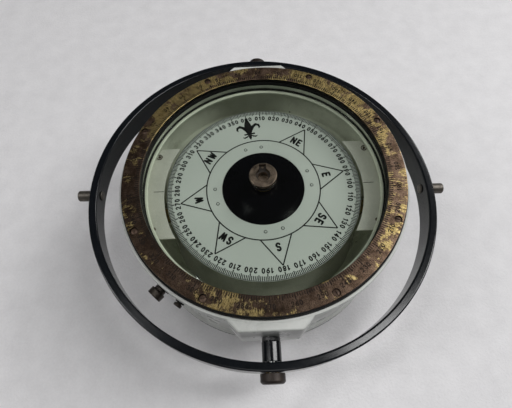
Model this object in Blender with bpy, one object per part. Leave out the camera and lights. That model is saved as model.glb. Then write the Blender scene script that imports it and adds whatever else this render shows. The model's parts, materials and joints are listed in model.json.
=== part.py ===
"""Liquid-filled ship's compass bowl, hung in its gimbal ring.

World frame: metres, +Z up, origin on the ground under the bowl's centre.
-X is forward (the forward lubber line), +X is aft, -Y is the front trunnion.
Three bodies: the bowl, the card on its pivot, and the gimbal ring.
"""
import math

import bmesh
import bpy
from mathutils import Matrix, Vector

# ---- driving dimensions ------------------------------------------------
GAP = 0.0003                    # clearance between touching pieces
TOTAL_HEIGHT = 0.120            # ground to the bearing ring's top
CARD_RADIUS = 0.090

RING_OUTER = 0.1235             # bearing ring
RING_INNER = 0.1076
RING_THICK = 0.004
GASKET_INNER = 0.1100
GASKET_OUTER = 0.1250
GASKET_THICK = 0.0018
RING_SCREW_CIRCLE = 0.1189
RING_SCREW_STEP = math.radians(25)      # each side of the X and Y axes
SCREW_HEAD_HOLE = 0.0031
SCREW_HEAD_RADIUS = 0.0028
SCREW_SHANK_RADIUS = 0.0017
SCREW_HOLE_RADIUS = 0.0020

FLANGE_RADIUS = 0.1272          # bowl casting
FLANGE_THICK = 0.0091
WALL_OUTER = 0.1215
WALL_INNER = 0.1100
RECESS_RADIUS = 0.1093          # recess that takes glass and clamp ring
LEDGE_RADIUS = 0.1048           # ledge under the glass
SHELF_RADIUS = 0.0960           # mouth of the floor, at the foot of the sloping lower wall
SHELF_Z = 0.038                 # seats of the pivot bridge
SLOPE_LOW = 0.036
SLOPE_TOP = 0.070
SEAT_REACH = 0.1092             # bridge seats cut into the slope
SEAT_HALF_WIDTH = 0.0106
FOOT_FLANGE_RADIUS = 0.1242
FOOT_FLANGE_TOP = 0.024
BOWL_BOTTOM = 0.016

LUG_FRONT = 0.1325              # trunnion lugs of the bowl
LUG_TOP = 0.1133
LUG_BOTTOM = 0.0640

AXIS_Z = 0.083                  # gimbal axis height
GIMBAL_OUTER = 0.1590
GIMBAL_INNER = 0.1520
GIMBAL_HEIGHT = 0.024
GIMBAL_LEAN = math.radians(2.75)        # resting attitude about +Y
GIMBAL_CHAMFER = 0.0012
GIMBAL_PIN_END = 0.1730
CAP_END = 0.1670

CARD_TOP = 0.093                # compass card and its float
CARD_THICK = 0.001
CARD_HEADING = math.radians(10)         # card's north, turned from +Y
FLOAT_RADIUS = 0.038
FLOAT_FLANGE = 0.050
FLOAT_TOP = 0.0972
FLOAT_BOTTOM = 0.0735
FLOAT_SKIN = 0.0015
PIVOT_Z = 0.0846

GLASS_RADIUS = 0.1088
GLASS_THICK = 0.005
GLASS_HOLE = 0.0063
SEAL_INNER = 0.1070
SEAL_THICK = 0.0015
CLAMP_INNER = 0.1072
BOSS_RADIUS = 0.0124            # brass boss in the middle of the glass
BOSS_THICK = 0.0040
BOSS_BORE = 0.0048
BOSS_SLOT_HALF = 0.0033
BOSS_STEM = 0.0060
BOSS_STEM_BOTTOM = 0.1005

PLATE_INNER = 0.0926            # lubber plates
PLATE_OUTER = 0.1092
PLATE_HALF_WIDTH = 0.0475
PLATE_THICK = 0.0015
LUBBER_SCREW_RADIUS = 0.1065
LUBBER_SCREW_ANGLE = math.radians(21)

FILLER_ANGLE = math.radians(-134.5)       # filler plug and vent screw
VENT_ANGLE = math.radians(-125.5)
PLUG_Z = 0.090
PLUG_BOSS_FACE = 0.1255

COVER_FLANGE_BOTTOM = 0.0085    # base cover, seal and diaphragm
COVER_DRUM = 0.1010
COVER_SKIN = 0.003
BASE_SCREW_CIRCLE = 0.1175
BASE_SCREWS = 6
DIAPHRAGM_RADIUS = 0.1080
DIAPHRAGM_THICK = 0.0010

BRIDGE_THICK = 0.005            # pivot bridge, its pillar and its pin
BRIDGE_SCREW_REACH = 0.1055
PILLAR_TOP = 0.062
PIN_RADIUS = 0.0020
PIN_ROOT = 0.048

STUD_RADIUS = 0.0050            # trunnion studs, collars and sleeves
STUD_ROOT = 0.1160
JOURNAL_RADIUS = 0.0040
JOURNAL_END = 0.1605
SLEEVE_END = 0.1512

# ---- heights worked out from them --------------------------------------
RING_BOTTOM = TOTAL_HEIGHT - RING_THICK
GASKET_TOP = RING_BOTTOM - GAP
FLANGE_TOP = GASKET_TOP - GASKET_THICK - GAP
FLANGE_BOTTOM = FLANGE_TOP - FLANGE_THICK
LEDGE_TOP = FLANGE_TOP - 0.0094
SEAL_BOTTOM = LEDGE_TOP + GAP
GLASS_BOTTOM = SEAL_BOTTOM + SEAL_THICK + GAP
GLASS_TOP = GLASS_BOTTOM + GLASS_THICK
CARD_BOTTOM = CARD_TOP - CARD_THICK
BASE_SEAL_TOP = BOWL_BOTTOM - GAP
BASE_SEAL_BOTTOM = BASE_SEAL_TOP - 0.0012
COVER_TOP = BASE_SEAL_BOTTOM - GAP
RABBET_Z = COVER_TOP - DIAPHRAGM_THICK - GAP
BRIDGE_LOW = SHELF_Z + GAP
COLLAR_END = LUG_FRONT + GAP + 0.0030

BIG = 48                        # sides of the large turned parts
MEDIUM = 24
SMALL = 16
TINY = 8
SHARP = math.radians(30)

FRONT, BACK = math.radians(90), math.radians(-90)       # turns about X
AFT, FORWARD = math.radians(90), math.radians(-90)      # turns about Y


# ---- helpers -----------------------------------------------------------
def clear_scene():
    """Remove everything that a new file may hold."""
    for old in list(bpy.data.objects):
        bpy.data.objects.remove(old, do_unlink=True)


def material(name, colour, roughness, metallic=0.0, alpha=1.0):
    """A plain Principled material."""
    made = bpy.data.materials.new(name)
    made.use_nodes = True
    made.diffuse_color = (*colour, alpha)
    shader = made.node_tree.nodes["Principled BSDF"]
    shader.inputs["Base Color"].default_value = (*colour, 1.0)
    shader.inputs["Roughness"].default_value = roughness
    shader.inputs["Metallic"].default_value = metallic
    shader.inputs["Alpha"].default_value = alpha
    return made


def finish_object(name, bm, surface, parent=None):
    """Write a bmesh to a named, smooth-shaded object."""
    bmesh.ops.recalc_face_normals(bm, faces=bm.faces)
    mesh = bpy.data.meshes.new(name)
    bm.to_mesh(mesh)
    bm.free()
    mesh.shade_smooth()
    mesh.set_sharp_from_angle(angle=SHARP)
    mesh.materials.append(surface)
    made = bpy.data.objects.new(name, mesh)
    bpy.context.collection.objects.link(made)
    made.parent = parent
    return made


def add_turned(bm, profile, sides, place=Matrix()):
    """Spin an outline of (radius, height) points about Z, then place it.

    An outline that starts and ends on the axis is a chain; any other closes.
    """
    turned = bmesh.new()
    points = [turned.verts.new((radius, 0.0, height)) for radius, height in profile]
    is_chain = profile[0][0] == 0.0 and profile[-1][0] == 0.0
    rim = points if is_chain else points + points[:1]
    edges = [turned.edges.new(pair) for pair in zip(rim, rim[1:])]
    bmesh.ops.spin(
        turned, geom=points + edges, cent=(0, 0, 0), axis=(0, 0, 1),
        angle=math.tau, steps=sides, use_merge=True,
    )
    bmesh.ops.remove_doubles(turned, verts=turned.verts, dist=1e-6)
    bmesh.ops.recalc_face_normals(turned, faces=turned.faces)
    bmesh.ops.transform(turned, matrix=place, verts=turned.verts)
    shape = bpy.data.meshes.new("turned")
    turned.to_mesh(shape)
    turned.free()
    bm.from_mesh(shape)
    bpy.data.meshes.remove(shape)


def add_prism(bm, outline, low, high, place=Matrix()):
    """Extrude a flat outline of (x, y) points from low to high."""
    start = len(bm.verts)
    face = bm.faces.new([bm.verts.new((x, y, low)) for x, y in outline])
    raised = bmesh.ops.extrude_face_region(bm, geom=[face])["geom"]
    tops = [item for item in raised if isinstance(item, bmesh.types.BMVert)]
    bmesh.ops.translate(bm, vec=(0, 0, high - low), verts=tops)
    bm.verts.ensure_lookup_table()
    bmesh.ops.transform(bm, matrix=place, verts=bm.verts[start:])


def turned_object(name, profile, sides, surface, parent=None):
    """One turned piece as its own object."""
    bm = bmesh.new()
    add_turned(bm, profile, sides)
    return finish_object(name, bm, surface, parent)


def turned_copies(name, profile, sides, surface, places, parent=None):
    """Numbered copies of one turned piece, which share their mesh."""
    shape = None
    for number, place in enumerate(places, start=1):
        if shape is None:
            piece = turned_object(f"{name}_{number}", profile, sides, surface, parent)
            shape = piece.data
        else:
            piece = bpy.data.objects.new(f"{name}_{number}", shape)
            bpy.context.collection.objects.link(piece)
            piece.parent = parent
        piece.matrix_local = place


def ring_profile(inner, outer, low, high):
    """Rectangular section of a plain ring."""
    return [(outer, high), (outer, low), (inner, low), (inner, high)]


def rod_profile(radius, low, high):
    """Section of a plain solid rod."""
    return [(0.0, high), (radius, high), (radius, low), (0.0, low)]


def polar(radius, angle, height=0.0):
    """Placement at an angle round the bowl."""
    return Matrix.Translation((radius * math.cos(angle), radius * math.sin(angle), height))


def radial(angle, height):
    """Placement that turns local +Z to point outward at an angle."""
    lay_down = Matrix.Rotation(AFT, 4, "Y")
    return Matrix.Translation((0, 0, height)) @ Matrix.Rotation(angle, 4, "Z") @ lay_down


def tool_object(name, bm):
    """A shape that only serves a Boolean modifier."""
    made = finish_object(name, bm, TOOL_SURFACE)
    made.hide_render = True
    made.hide_viewport = False
    made.display_type = "WIRE"
    return made


def combine(target, bm, operation, name):
    """Join a shape to a piece, or cut it from the piece."""
    modifier = target.modifiers.new(name, "BOOLEAN")
    modifier.operation = operation
    modifier.solver = "EXACT"
    modifier.object = tool_object(f"{target.name}_{name}", bm)
    modifier.object.parent = target.parent
    modifier.object.location = target.location
    modifier.object.rotation_euler = target.rotation_euler


def add_holes(bm, radius, low, high, places, sides=TINY):
    """Round cutters along Z at the given placements."""
    for place in places:
        add_turned(bm, rod_profile(radius, low, high), sides, place)


def drill(target, radius, low, high, places, sides=TINY):
    """Cut round holes along Z through a piece."""
    bm = bmesh.new()
    add_holes(bm, radius, low, high, places, sides)
    combine(target, bm, "DIFFERENCE", "holes")


def ring_screw_places():
    """Eight places, either side of the X and Y axes."""
    quarters = [math.radians(90) * step for step in range(4)]
    angles = [quarter + side * RING_SCREW_STEP for quarter in quarters for side in (-1, 1)]
    return [polar(RING_SCREW_CIRCLE, angle) for angle in angles]


def base_screw_places():
    """Evenly spaced places round the foot flange."""
    step = math.tau / BASE_SCREWS
    return [polar(BASE_SCREW_CIRCLE, step * (index + 0.5)) for index in range(BASE_SCREWS)]


def lubber_screw_angles():
    """Two angles on each lubber plate."""
    return [middle + side * LUBBER_SCREW_ANGLE for middle in (0.0, math.pi) for side in (-1, 1)]


def lubber_screw_places():
    """Four places on the lubber plates."""
    return [polar(LUBBER_SCREW_RADIUS, angle) for angle in lubber_screw_angles()]


def bridge_screw_places():
    """One place at each end of the pivot bridge."""
    return [Matrix.Translation((side * BRIDGE_SCREW_REACH, 0, 0)) for side in (-1, 1)]


# ---- the bowl ----------------------------------------------------------
def lug_outline():
    """Plan of a trunnion lug, tapering outward, for the -Y side."""
    root, waist, nose = -0.1130, -0.1230, -LUG_FRONT
    half = [(0.0345, root), (0.0335, waist), (0.0245, nose)]
    return half + [(-x, y) for x, y in reversed(half)]


def make_bowl(surface):
    """White casting with flange, two lugs, plug bosses and all its holes."""
    profile = [
        (FLANGE_RADIUS, FLANGE_TOP - 0.0006),
        (FLANGE_RADIUS, FLANGE_BOTTOM),
        (WALL_OUTER, FLANGE_BOTTOM - 0.004),
        (WALL_OUTER, FOOT_FLANGE_TOP + 0.002),
        (FOOT_FLANGE_RADIUS, FOOT_FLANGE_TOP),
        (FOOT_FLANGE_RADIUS, BOWL_BOTTOM),
        (SHELF_RADIUS, BOWL_BOTTOM),
        (SHELF_RADIUS, SLOPE_LOW),
        (WALL_INNER, SLOPE_TOP),
        (WALL_INNER, LEDGE_TOP - 0.005),
        (LEDGE_RADIUS, LEDGE_TOP - 0.0025),
        (LEDGE_RADIUS, LEDGE_TOP),
        (RECESS_RADIUS, LEDGE_TOP),
        (RECESS_RADIUS, FLANGE_TOP),
        (FLANGE_RADIUS - 0.0006, FLANGE_TOP),
    ]
    bowl = turned_object("bowl_body", profile, BIG, surface)

    lugs = bmesh.new()
    half_turn = Matrix.Rotation(math.pi, 4, "Z")
    for place in (Matrix(), half_turn):
        add_prism(lugs, lug_outline(), LUG_BOTTOM, LUG_TOP, place)
    combine(bowl, lugs, "UNION", "lugs")

    bosses = bmesh.new()
    for angle, radius in ((FILLER_ANGLE, 0.0088), (VENT_ANGLE, 0.0060)):
        add_turned(bosses, rod_profile(radius, 0.1160, PLUG_BOSS_FACE), SMALL, radial(angle, PLUG_Z))
    combine(bowl, bosses, "UNION", "bosses")

    ears = bmesh.new()
    ear = [(0.1010, -0.004), (0.1115, -0.004), (0.1115, 0.004), (0.1010, 0.004)]
    ear_top = CARD_TOP - PLATE_THICK - GAP
    for angle in lubber_screw_angles():
        add_prism(ears, ear, 0.0840, ear_top, Matrix.Rotation(angle, 4, "Z"))
    combine(bowl, ears, "UNION", "ears")

    seats = bmesh.new()
    seat = [(x * SEAT_REACH, y * SEAT_HALF_WIDTH) for x, y in ((-1, -1), (1, -1), (1, 1), (-1, 1))]
    add_prism(seats, seat, SHELF_Z, SLOPE_TOP + 0.002)
    combine(bowl, seats, "DIFFERENCE", "seats")

    holes = bmesh.new()
    add_holes(holes, SCREW_HOLE_RADIUS, 0.1000, TOTAL_HEIGHT, ring_screw_places())
    add_holes(holes, SCREW_HOLE_RADIUS, 0.0100, 0.0260, base_screw_places())
    add_holes(holes, 0.0015, 0.0290, 0.0400, bridge_screw_places())
    add_holes(holes, 0.0014, 0.0860, 0.0930, lubber_screw_places())
    for turn in (FRONT, BACK):
        place = Matrix.Translation((0, 0, AXIS_Z)) @ Matrix.Rotation(turn, 4, "X")
        add_turned(holes, rod_profile(STUD_RADIUS + GAP, STUD_ROOT - GAP, 0.1400), SMALL, place)
    add_turned(holes, rod_profile(0.0039, 0.1050, 0.1300), SMALL, radial(FILLER_ANGLE, PLUG_Z))
    add_turned(holes, rod_profile(0.0022, 0.1050, 0.1300), SMALL, radial(VENT_ANGLE, PLUG_Z))
    combine(bowl, holes, "DIFFERENCE", "holes")


def make_bearing_ring(ring_surface, screw_surface, gasket_surface):
    """Graduated brass ring, its screws and the rubber gasket below it."""
    chamfer = 0.0005
    profile = [
        (RING_OUTER - chamfer, TOTAL_HEIGHT),
        (RING_OUTER, TOTAL_HEIGHT - chamfer),
        (RING_OUTER, RING_BOTTOM),
        (RING_INNER, RING_BOTTOM),
        (RING_INNER, TOTAL_HEIGHT),
    ]
    ring = turned_object("bearing_ring", profile, BIG, ring_surface)
    drill(ring, SCREW_HEAD_HOLE, 0.1100, 0.1250, ring_screw_places(), SMALL)

    section = ring_profile(GASKET_INNER, GASKET_OUTER, GASKET_TOP - GASKET_THICK, GASKET_TOP)
    gasket = turned_object("ring_gasket", section, BIG, gasket_surface)
    drill(gasket, SCREW_HOLE_RADIUS, 0.1100, 0.1250, ring_screw_places())

    head_low, head_high = GASKET_TOP + GAP, TOTAL_HEIGHT - 0.0004
    profile = [
        (0.0, head_high), (SCREW_HEAD_RADIUS, head_high), (SCREW_HEAD_RADIUS, head_low),
        (SCREW_SHANK_RADIUS, head_low), (SCREW_SHANK_RADIUS, 0.1020), (0.0, 0.1020),
    ]
    turned_copies("bearing_ring_screw", profile, TINY, screw_surface, ring_screw_places())


def make_glass(glass_surface, seal_surface, clamp_surface):
    """Top glass on its seal, held down by a black clamp ring."""
    seal = ring_profile(SEAL_INNER, GLASS_RADIUS, SEAL_BOTTOM, SEAL_BOTTOM + SEAL_THICK)
    turned_object("glass_seal", seal, BIG, seal_surface)
    glass = ring_profile(GLASS_HOLE, GLASS_RADIUS, GLASS_BOTTOM, GLASS_TOP)
    turned_object("top_glass", glass, BIG, glass_surface)
    clamp = ring_profile(CLAMP_INNER, GLASS_RADIUS, GLASS_TOP + GAP, RING_BOTTOM - 0.0004)
    turned_object("glass_clamp_ring", clamp, BIG, clamp_surface)


def make_centre_boss(boss_surface, nut_surface, washer_surface):
    """Slotted brass boss through the glass, with washer and nut below."""
    low = GLASS_TOP + GAP
    high = low + BOSS_THICK
    floor = high - 0.0085
    profile = [
        (0.0, floor), (BOSS_BORE, floor), (BOSS_BORE, high), (BOSS_RADIUS - 0.0006, high),
        (BOSS_RADIUS, high - 0.0006), (BOSS_RADIUS, low), (BOSS_STEM, low),
        (BOSS_STEM, BOSS_STEM_BOTTOM), (0.0, BOSS_STEM_BOTTOM),
    ]
    boss = turned_object("centre_boss", profile, MEDIUM, boss_surface)
    slot = bmesh.new()
    half = BOSS_SLOT_HALF
    outline = [(-half, 0.0), (half, 0.0), (half, 0.0150), (-half, 0.0150)]
    add_prism(slot, outline, high - 0.0018, high + 0.0020)
    combine(boss, slot, "DIFFERENCE", "slot")

    washer_top = GLASS_BOTTOM - GAP
    washer_low = washer_top - 0.0010
    nut_top = washer_low - GAP
    washer = ring_profile(GLASS_HOLE, 0.0110, washer_low, washer_top)
    turned_object("centre_boss_washer", washer, SMALL, washer_surface)
    nut = ring_profile(GLASS_HOLE, 0.0098, nut_top - 0.0030, nut_top)
    turned_object("centre_boss_nut", nut, SMALL, nut_surface)


def plate_outline():
    """Plan of the aft lubber plate: two arcs between straight ends."""
    steps = 10
    outer_half = math.asin(PLATE_HALF_WIDTH / PLATE_OUTER)
    inner_half = math.asin(PLATE_HALF_WIDTH / PLATE_INNER)
    points = []
    for radius, half, direction in ((PLATE_OUTER, outer_half, 1), (PLATE_INNER, inner_half, -1)):
        for step in range(steps + 1):
            angle = direction * half * (2 * step / steps - 1)
            points.append((radius * math.cos(angle), radius * math.sin(angle)))
    return points


def make_lubber_plates(plate_surface, screw_surface):
    """Forward and aft plates at card height, screwed to the bowl's ears."""
    plate_top = CARD_TOP
    for name, turn in (("lubber_plate_aft", 0.0), ("lubber_plate_forward", math.pi)):
        bm = bmesh.new()
        add_prism(bm, plate_outline(), plate_top - PLATE_THICK, plate_top)
        plate = finish_object(name, bm, plate_surface)
        plate.rotation_euler = (0, 0, turn)
        places = [polar(LUBBER_SCREW_RADIUS, side * LUBBER_SCREW_ANGLE) for side in (-1, 1)]
        drill(plate, 0.0014, 0.0800, 0.1000, places)

    head = plate_top + GAP
    profile = [
        (0.0, head + 0.0012), (0.0016, head + 0.0012), (0.0022, head + 0.0006), (0.0022, head),
        (0.0011, head), (0.0011, 0.0870), (0.0, 0.0870),
    ]
    turned_copies("lubber_screw", profile, TINY, screw_surface, lubber_screw_places())


def make_pivot(bridge_surface, pin_surface, screw_surface):
    """Bridge across the bowl with a pillar that carries the pivot pin."""
    half_width, half_length = 0.007, 0.1085
    outline = [
        (half_length, -half_width), (half_length, half_width),
        (-half_length, half_width), (-half_length, -half_width),
    ]
    bm = bmesh.new()
    add_prism(bm, outline, BRIDGE_LOW, BRIDGE_LOW + BRIDGE_THICK)
    bridge = finish_object("pivot_bridge", bm, bridge_surface)
    pillar = bmesh.new()
    base = BRIDGE_LOW + 0.001
    profile = [
        (0.0, PILLAR_TOP), (0.0050, PILLAR_TOP), (0.0065, PILLAR_TOP - 0.002),
        (0.0100, base + 0.006), (0.0100, base), (0.0, base),
    ]
    add_turned(pillar, profile, SMALL)
    combine(bridge, pillar, "UNION", "pillar")
    holes = bmesh.new()
    add_turned(holes, rod_profile(PIN_RADIUS + GAP, PIN_ROOT - GAP, 0.070), SMALL)
    add_holes(holes, 0.0015, 0.0300, 0.0500, bridge_screw_places())
    combine(bridge, holes, "DIFFERENCE", "holes")

    pin = [
        (0.0, PIVOT_Z - GAP), (PIN_RADIUS, PIVOT_Z - 0.006),
        (PIN_RADIUS, PIN_ROOT), (0.0, PIN_ROOT),
    ]
    turned_object("pivot_pin", pin, SMALL, pin_surface)

    head = BRIDGE_LOW + BRIDGE_THICK + GAP
    profile = [
        (0.0, head + 0.002), (0.0026, head + 0.002), (0.0026, head),
        (0.0012, head), (0.0012, 0.0310), (0.0, 0.0310),
    ]
    turned_copies("bridge_screw", profile, TINY, screw_surface, bridge_screw_places())


def make_base(cover_surface, seal_surface, diaphragm_surface, screw_surface):
    """Pan-shaped cover, seal, corrugated expansion diaphragm and screws."""
    drum_corner = 0.004
    inside = COVER_DRUM - COVER_SKIN
    rabbet = DIAPHRAGM_RADIUS + GAP
    profile = [
        (COVER_DRUM - drum_corner, 0.0), (COVER_DRUM, drum_corner),
        (COVER_DRUM, COVER_FLANGE_BOTTOM), (FOOT_FLANGE_RADIUS, COVER_FLANGE_BOTTOM),
        (FOOT_FLANGE_RADIUS, COVER_TOP), (rabbet, COVER_TOP), (rabbet, RABBET_Z),
        (inside, RABBET_Z), (inside - 0.002, COVER_SKIN), (0.004, COVER_SKIN), (0.004, 0.0),
    ]
    cover = turned_object("base_cover", profile, BIG, cover_surface)
    drill(cover, SCREW_HOLE_RADIUS, 0.0, 0.0200, base_screw_places())

    section = ring_profile(SHELF_RADIUS + 0.002, FOOT_FLANGE_RADIUS, BASE_SEAL_BOTTOM, BASE_SEAL_TOP)
    seal = turned_object("base_seal", section, BIG, seal_surface)
    drill(seal, SCREW_HOLE_RADIUS, 0.0, 0.0200, base_screw_places())

    rows, waves, height = 10, 3, 0.0012
    flat_radius = 0.0960
    rise = [height * (1 - math.cos(math.tau * waves * row / (rows - 1))) for row in range(rows)]
    radii = [flat_radius * (1 - row / (rows - 1)) for row in range(rows)]
    low = RABBET_Z + GAP
    bottom = [(DIAPHRAGM_RADIUS, low)] + [(r, low - z) for r, z in zip(radii, rise)]
    top = [(r, z + DIAPHRAGM_THICK) for r, z in reversed(bottom)]
    turned_object("expansion_diaphragm", (bottom + top)[::-1], MEDIUM, diaphragm_surface)

    head = COVER_FLANGE_BOTTOM - GAP
    profile = [
        (0.0, 0.0240), (0.0016, 0.0240), (0.0016, head), (0.0031, head),
        (0.0031, head - 0.0028), (0.0, head - 0.0028),
    ]
    turned_copies("base_screw", profile, TINY, screw_surface, base_screw_places())


def make_plug(name, angle, radii, lengths, surface, washer_name, washer_surface):
    """Screwed plug with a neck and head, over a washer, at an angle."""
    stem, neck, head = radii
    neck_end, head_end = lengths
    washer_face = PLUG_BOSS_FACE + GAP
    washer_end = washer_face + 0.0013
    seat = washer_end + GAP
    chamfer = 0.0008
    profile = [
        (0.0, head_end), (head - chamfer, head_end), (head, head_end - chamfer),
        (head, neck_end), (neck, neck_end), (neck, seat), (stem, seat),
        (stem, 0.1130), (0.0, 0.1130),
    ]
    bm = bmesh.new()
    add_turned(bm, profile, SMALL, radial(angle, PLUG_Z))
    finish_object(name, bm, surface)
    washer = bmesh.new()
    section = ring_profile(stem + GAP, head + 0.0005, washer_face, washer_end)
    add_turned(washer, section, SMALL, radial(angle, PLUG_Z))
    finish_object(washer_name, washer, washer_surface)


def make_trunnion(side, turn, pin_surface, collar_surface, sleeve_surface):
    """Stud in a bowl lug with its collar nut and spacer sleeve."""
    stud = [
        (0.0, JOURNAL_END), (JOURNAL_RADIUS - 0.0005, JOURNAL_END),
        (JOURNAL_RADIUS, JOURNAL_END - 0.0005), (JOURNAL_RADIUS, SLEEVE_END),
        (STUD_RADIUS, SLEEVE_END), (STUD_RADIUS, STUD_ROOT), (0.0, STUD_ROOT),
    ]
    bore = STUD_RADIUS + GAP
    collar = ring_profile(bore, 0.0073, LUG_FRONT + GAP, COLLAR_END)
    sleeve = ring_profile(bore, 0.0077, COLLAR_END + GAP, SLEEVE_END)
    pieces = (
        ("trunnion_pin", stud, pin_surface),
        ("trunnion_collar", collar, collar_surface),
        ("trunnion_sleeve", sleeve, sleeve_surface),
    )
    for name, profile, surface in pieces:
        piece = turned_object(f"{name}_{side}", profile, 20, surface)
        piece.location = (0, 0, AXIS_Z)
        piece.rotation_euler = (turn, 0, 0)


# ---- the card ----------------------------------------------------------
def make_card(surfaces):
    """Card, float, magnets and jewel, turning on the pivot's axis."""
    axis = bpy.data.objects.new("card_axis", None)
    bpy.context.collection.objects.link(axis)
    axis.location = (0, 0, PIVOT_Z)
    axis.rotation_euler = (0, 0, CARD_HEADING)
    down = Matrix.Translation((0, 0, -PIVOT_Z))

    def turned_on_axis(name, profile, sides, surface):
        bm = bmesh.new()
        add_turned(bm, profile, sides, down)
        return finish_object(name, bm, surface, axis)

    section = ring_profile(FLOAT_RADIUS + GAP, CARD_RADIUS, CARD_BOTTOM, CARD_TOP)
    turned_on_axis("compass_card", section, BIG, surfaces["card"])

    flange_top = CARD_BOTTOM - GAP
    flange_low = flange_top - FLOAT_SKIN
    inner = FLOAT_RADIUS - FLOAT_SKIN
    shell = [
        (0.0, FLOAT_TOP), (0.018, FLOAT_TOP - 0.0006), (0.030, FLOAT_TOP - 0.0018),
        (FLOAT_RADIUS, CARD_TOP + 0.0006), (FLOAT_RADIUS, flange_top),
        (FLOAT_FLANGE, flange_top), (FLOAT_FLANGE, flange_low), (FLOAT_RADIUS, flange_low),
        (FLOAT_RADIUS, 0.084), (0.034, 0.078), (0.024, FLOAT_BOTTOM), (0.0085, FLOAT_BOTTOM),
        (0.0085, FLOAT_BOTTOM + FLOAT_SKIN), (0.0235, FLOAT_BOTTOM + FLOAT_SKIN),
        (0.0328, 0.0793), (inner, 0.0846), (inner, 0.0920), (0.029, FLOAT_TOP - 0.0034),
        (0.018, FLOAT_TOP - 0.0021), (0.0, FLOAT_TOP - FLOAT_SKIN),
    ]
    turned_on_axis("card_float", shell, MEDIUM, surfaces["float"])

    bracket_top = FLOAT_BOTTOM - GAP
    bracket_low = bracket_top - 0.0016
    section = ring_profile(0.0085, 0.0225, bracket_low, bracket_top)
    turned_on_axis("magnet_bracket", section, MEDIUM, surfaces["brass"])

    near, far, half_length = 0.0105, 0.0185, 0.028
    magnet_top = bracket_low - GAP
    for name, side in (("magnet_east", 1), ("magnet_west", -1)):
        corners = [
            (side * near, -half_length), (side * far, -half_length),
            (side * far, half_length), (side * near, half_length),
        ]
        bar = bmesh.new()
        add_prism(bar, corners, magnet_top - 0.006, magnet_top, down)
        finish_object(name, bar, surfaces["magnet"], axis)

    jewel_low = PIVOT_Z + GAP
    jewel_top = jewel_low + 0.0018
    cup = [
        (0.0, jewel_top), (0.0022, jewel_top), (0.0022, jewel_low - 0.0010),
        (0.0014, jewel_low - 0.0010), (0.0, jewel_low),
    ]
    turned_on_axis("jewel_cup", cup, SMALL, surfaces["jewel"])
    holder_top = FLOAT_TOP - FLOAT_SKIN - GAP
    holder = [
        (0.0, holder_top), (0.0042, holder_top), (0.0042, jewel_low - 0.0010),
        (0.0025, jewel_low - 0.0010), (0.0025, jewel_top + GAP), (0.0, jewel_top + GAP),
    ]
    turned_on_axis("jewel_holder", holder, SMALL, surfaces["brass"])


# ---- the gimbal ring ---------------------------------------------------
def make_gimbal(surfaces):
    """Ring with its two outer pins, two bushes and two bearing caps."""
    axis = bpy.data.objects.new("gimbal_axis", None)
    bpy.context.collection.objects.link(axis)
    axis.location = (0, 0, AXIS_Z)
    axis.rotation_euler = (0, GIMBAL_LEAN, 0)

    half, chamfer = GIMBAL_HEIGHT / 2, GIMBAL_CHAMFER
    profile = [
        (GIMBAL_OUTER - chamfer, half), (GIMBAL_OUTER, half - chamfer),
        (GIMBAL_OUTER, chamfer - half), (GIMBAL_OUTER - chamfer, -half),
        (GIMBAL_INNER + chamfer, -half), (GIMBAL_INNER, chamfer - half),
        (GIMBAL_INNER, half - chamfer), (GIMBAL_INNER + chamfer, half),
    ]
    ring = turned_object("gimbal_ring", profile, 60, surfaces["ring"], axis)
    holes = bmesh.new()
    bush_radius, pin_shank = 0.0057, 0.0034
    for turn in (FRONT, BACK):
        place = Matrix.Rotation(turn, 4, "X")
        add_turned(holes, rod_profile(bush_radius + GAP, 0.1450, 0.1650), SMALL, place)
    for turn in (AFT, FORWARD):
        place = Matrix.Rotation(turn, 4, "Y")
        add_turned(holes, rod_profile(pin_shank + GAP, 0.1450, 0.1650), SMALL, place)
    combine(ring, holes, "DIFFERENCE", "holes")

    bush = ring_profile(JOURNAL_RADIUS + 0.00015, bush_radius, GIMBAL_INNER, GIMBAL_OUTER)
    cap_face = GIMBAL_OUTER + GAP
    cap_radius, cap_chamfer, bore = 0.0098, 0.0016, 0.0045
    cap = [
        (0.0, CAP_END), (cap_radius - cap_chamfer, CAP_END),
        (cap_radius, CAP_END - cap_chamfer), (cap_radius, cap_face),
        (bore, cap_face), (bore, JOURNAL_END + 0.0006), (0.0, JOURNAL_END + 0.0006),
    ]
    for side, turn in (("front", FRONT), ("back", BACK)):
        for name, profile, surface in (
            ("gimbal_bush", bush, surfaces["bush"]),
            ("bearing_cap", cap, surfaces["cap"]),
        ):
            piece = turned_object(f"{name}_{side}", profile, 20, surface, axis)
            piece.rotation_euler = (turn, 0, 0)

    pin_radius, pin_chamfer, rivet_radius = 0.0050, 0.0010, 0.0046
    shoulder = GIMBAL_OUTER + GAP
    inner_face = GIMBAL_INNER - 0.0004
    pin = [
        (0.0, GIMBAL_PIN_END), (pin_radius - pin_chamfer, GIMBAL_PIN_END),
        (pin_radius, GIMBAL_PIN_END - pin_chamfer), (pin_radius, shoulder),
        (pin_shank, shoulder), (pin_shank, inner_face), (rivet_radius, inner_face),
        (rivet_radius - 0.0008, inner_face - 0.0012), (0.0, inner_face - 0.0012),
    ]
    for side, turn in (("aft", AFT), ("forward", FORWARD)):
        piece = turned_object(f"gimbal_pin_{side}", pin, SMALL, surfaces["pin"], axis)
        piece.rotation_euler = (0, turn, 0)


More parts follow.
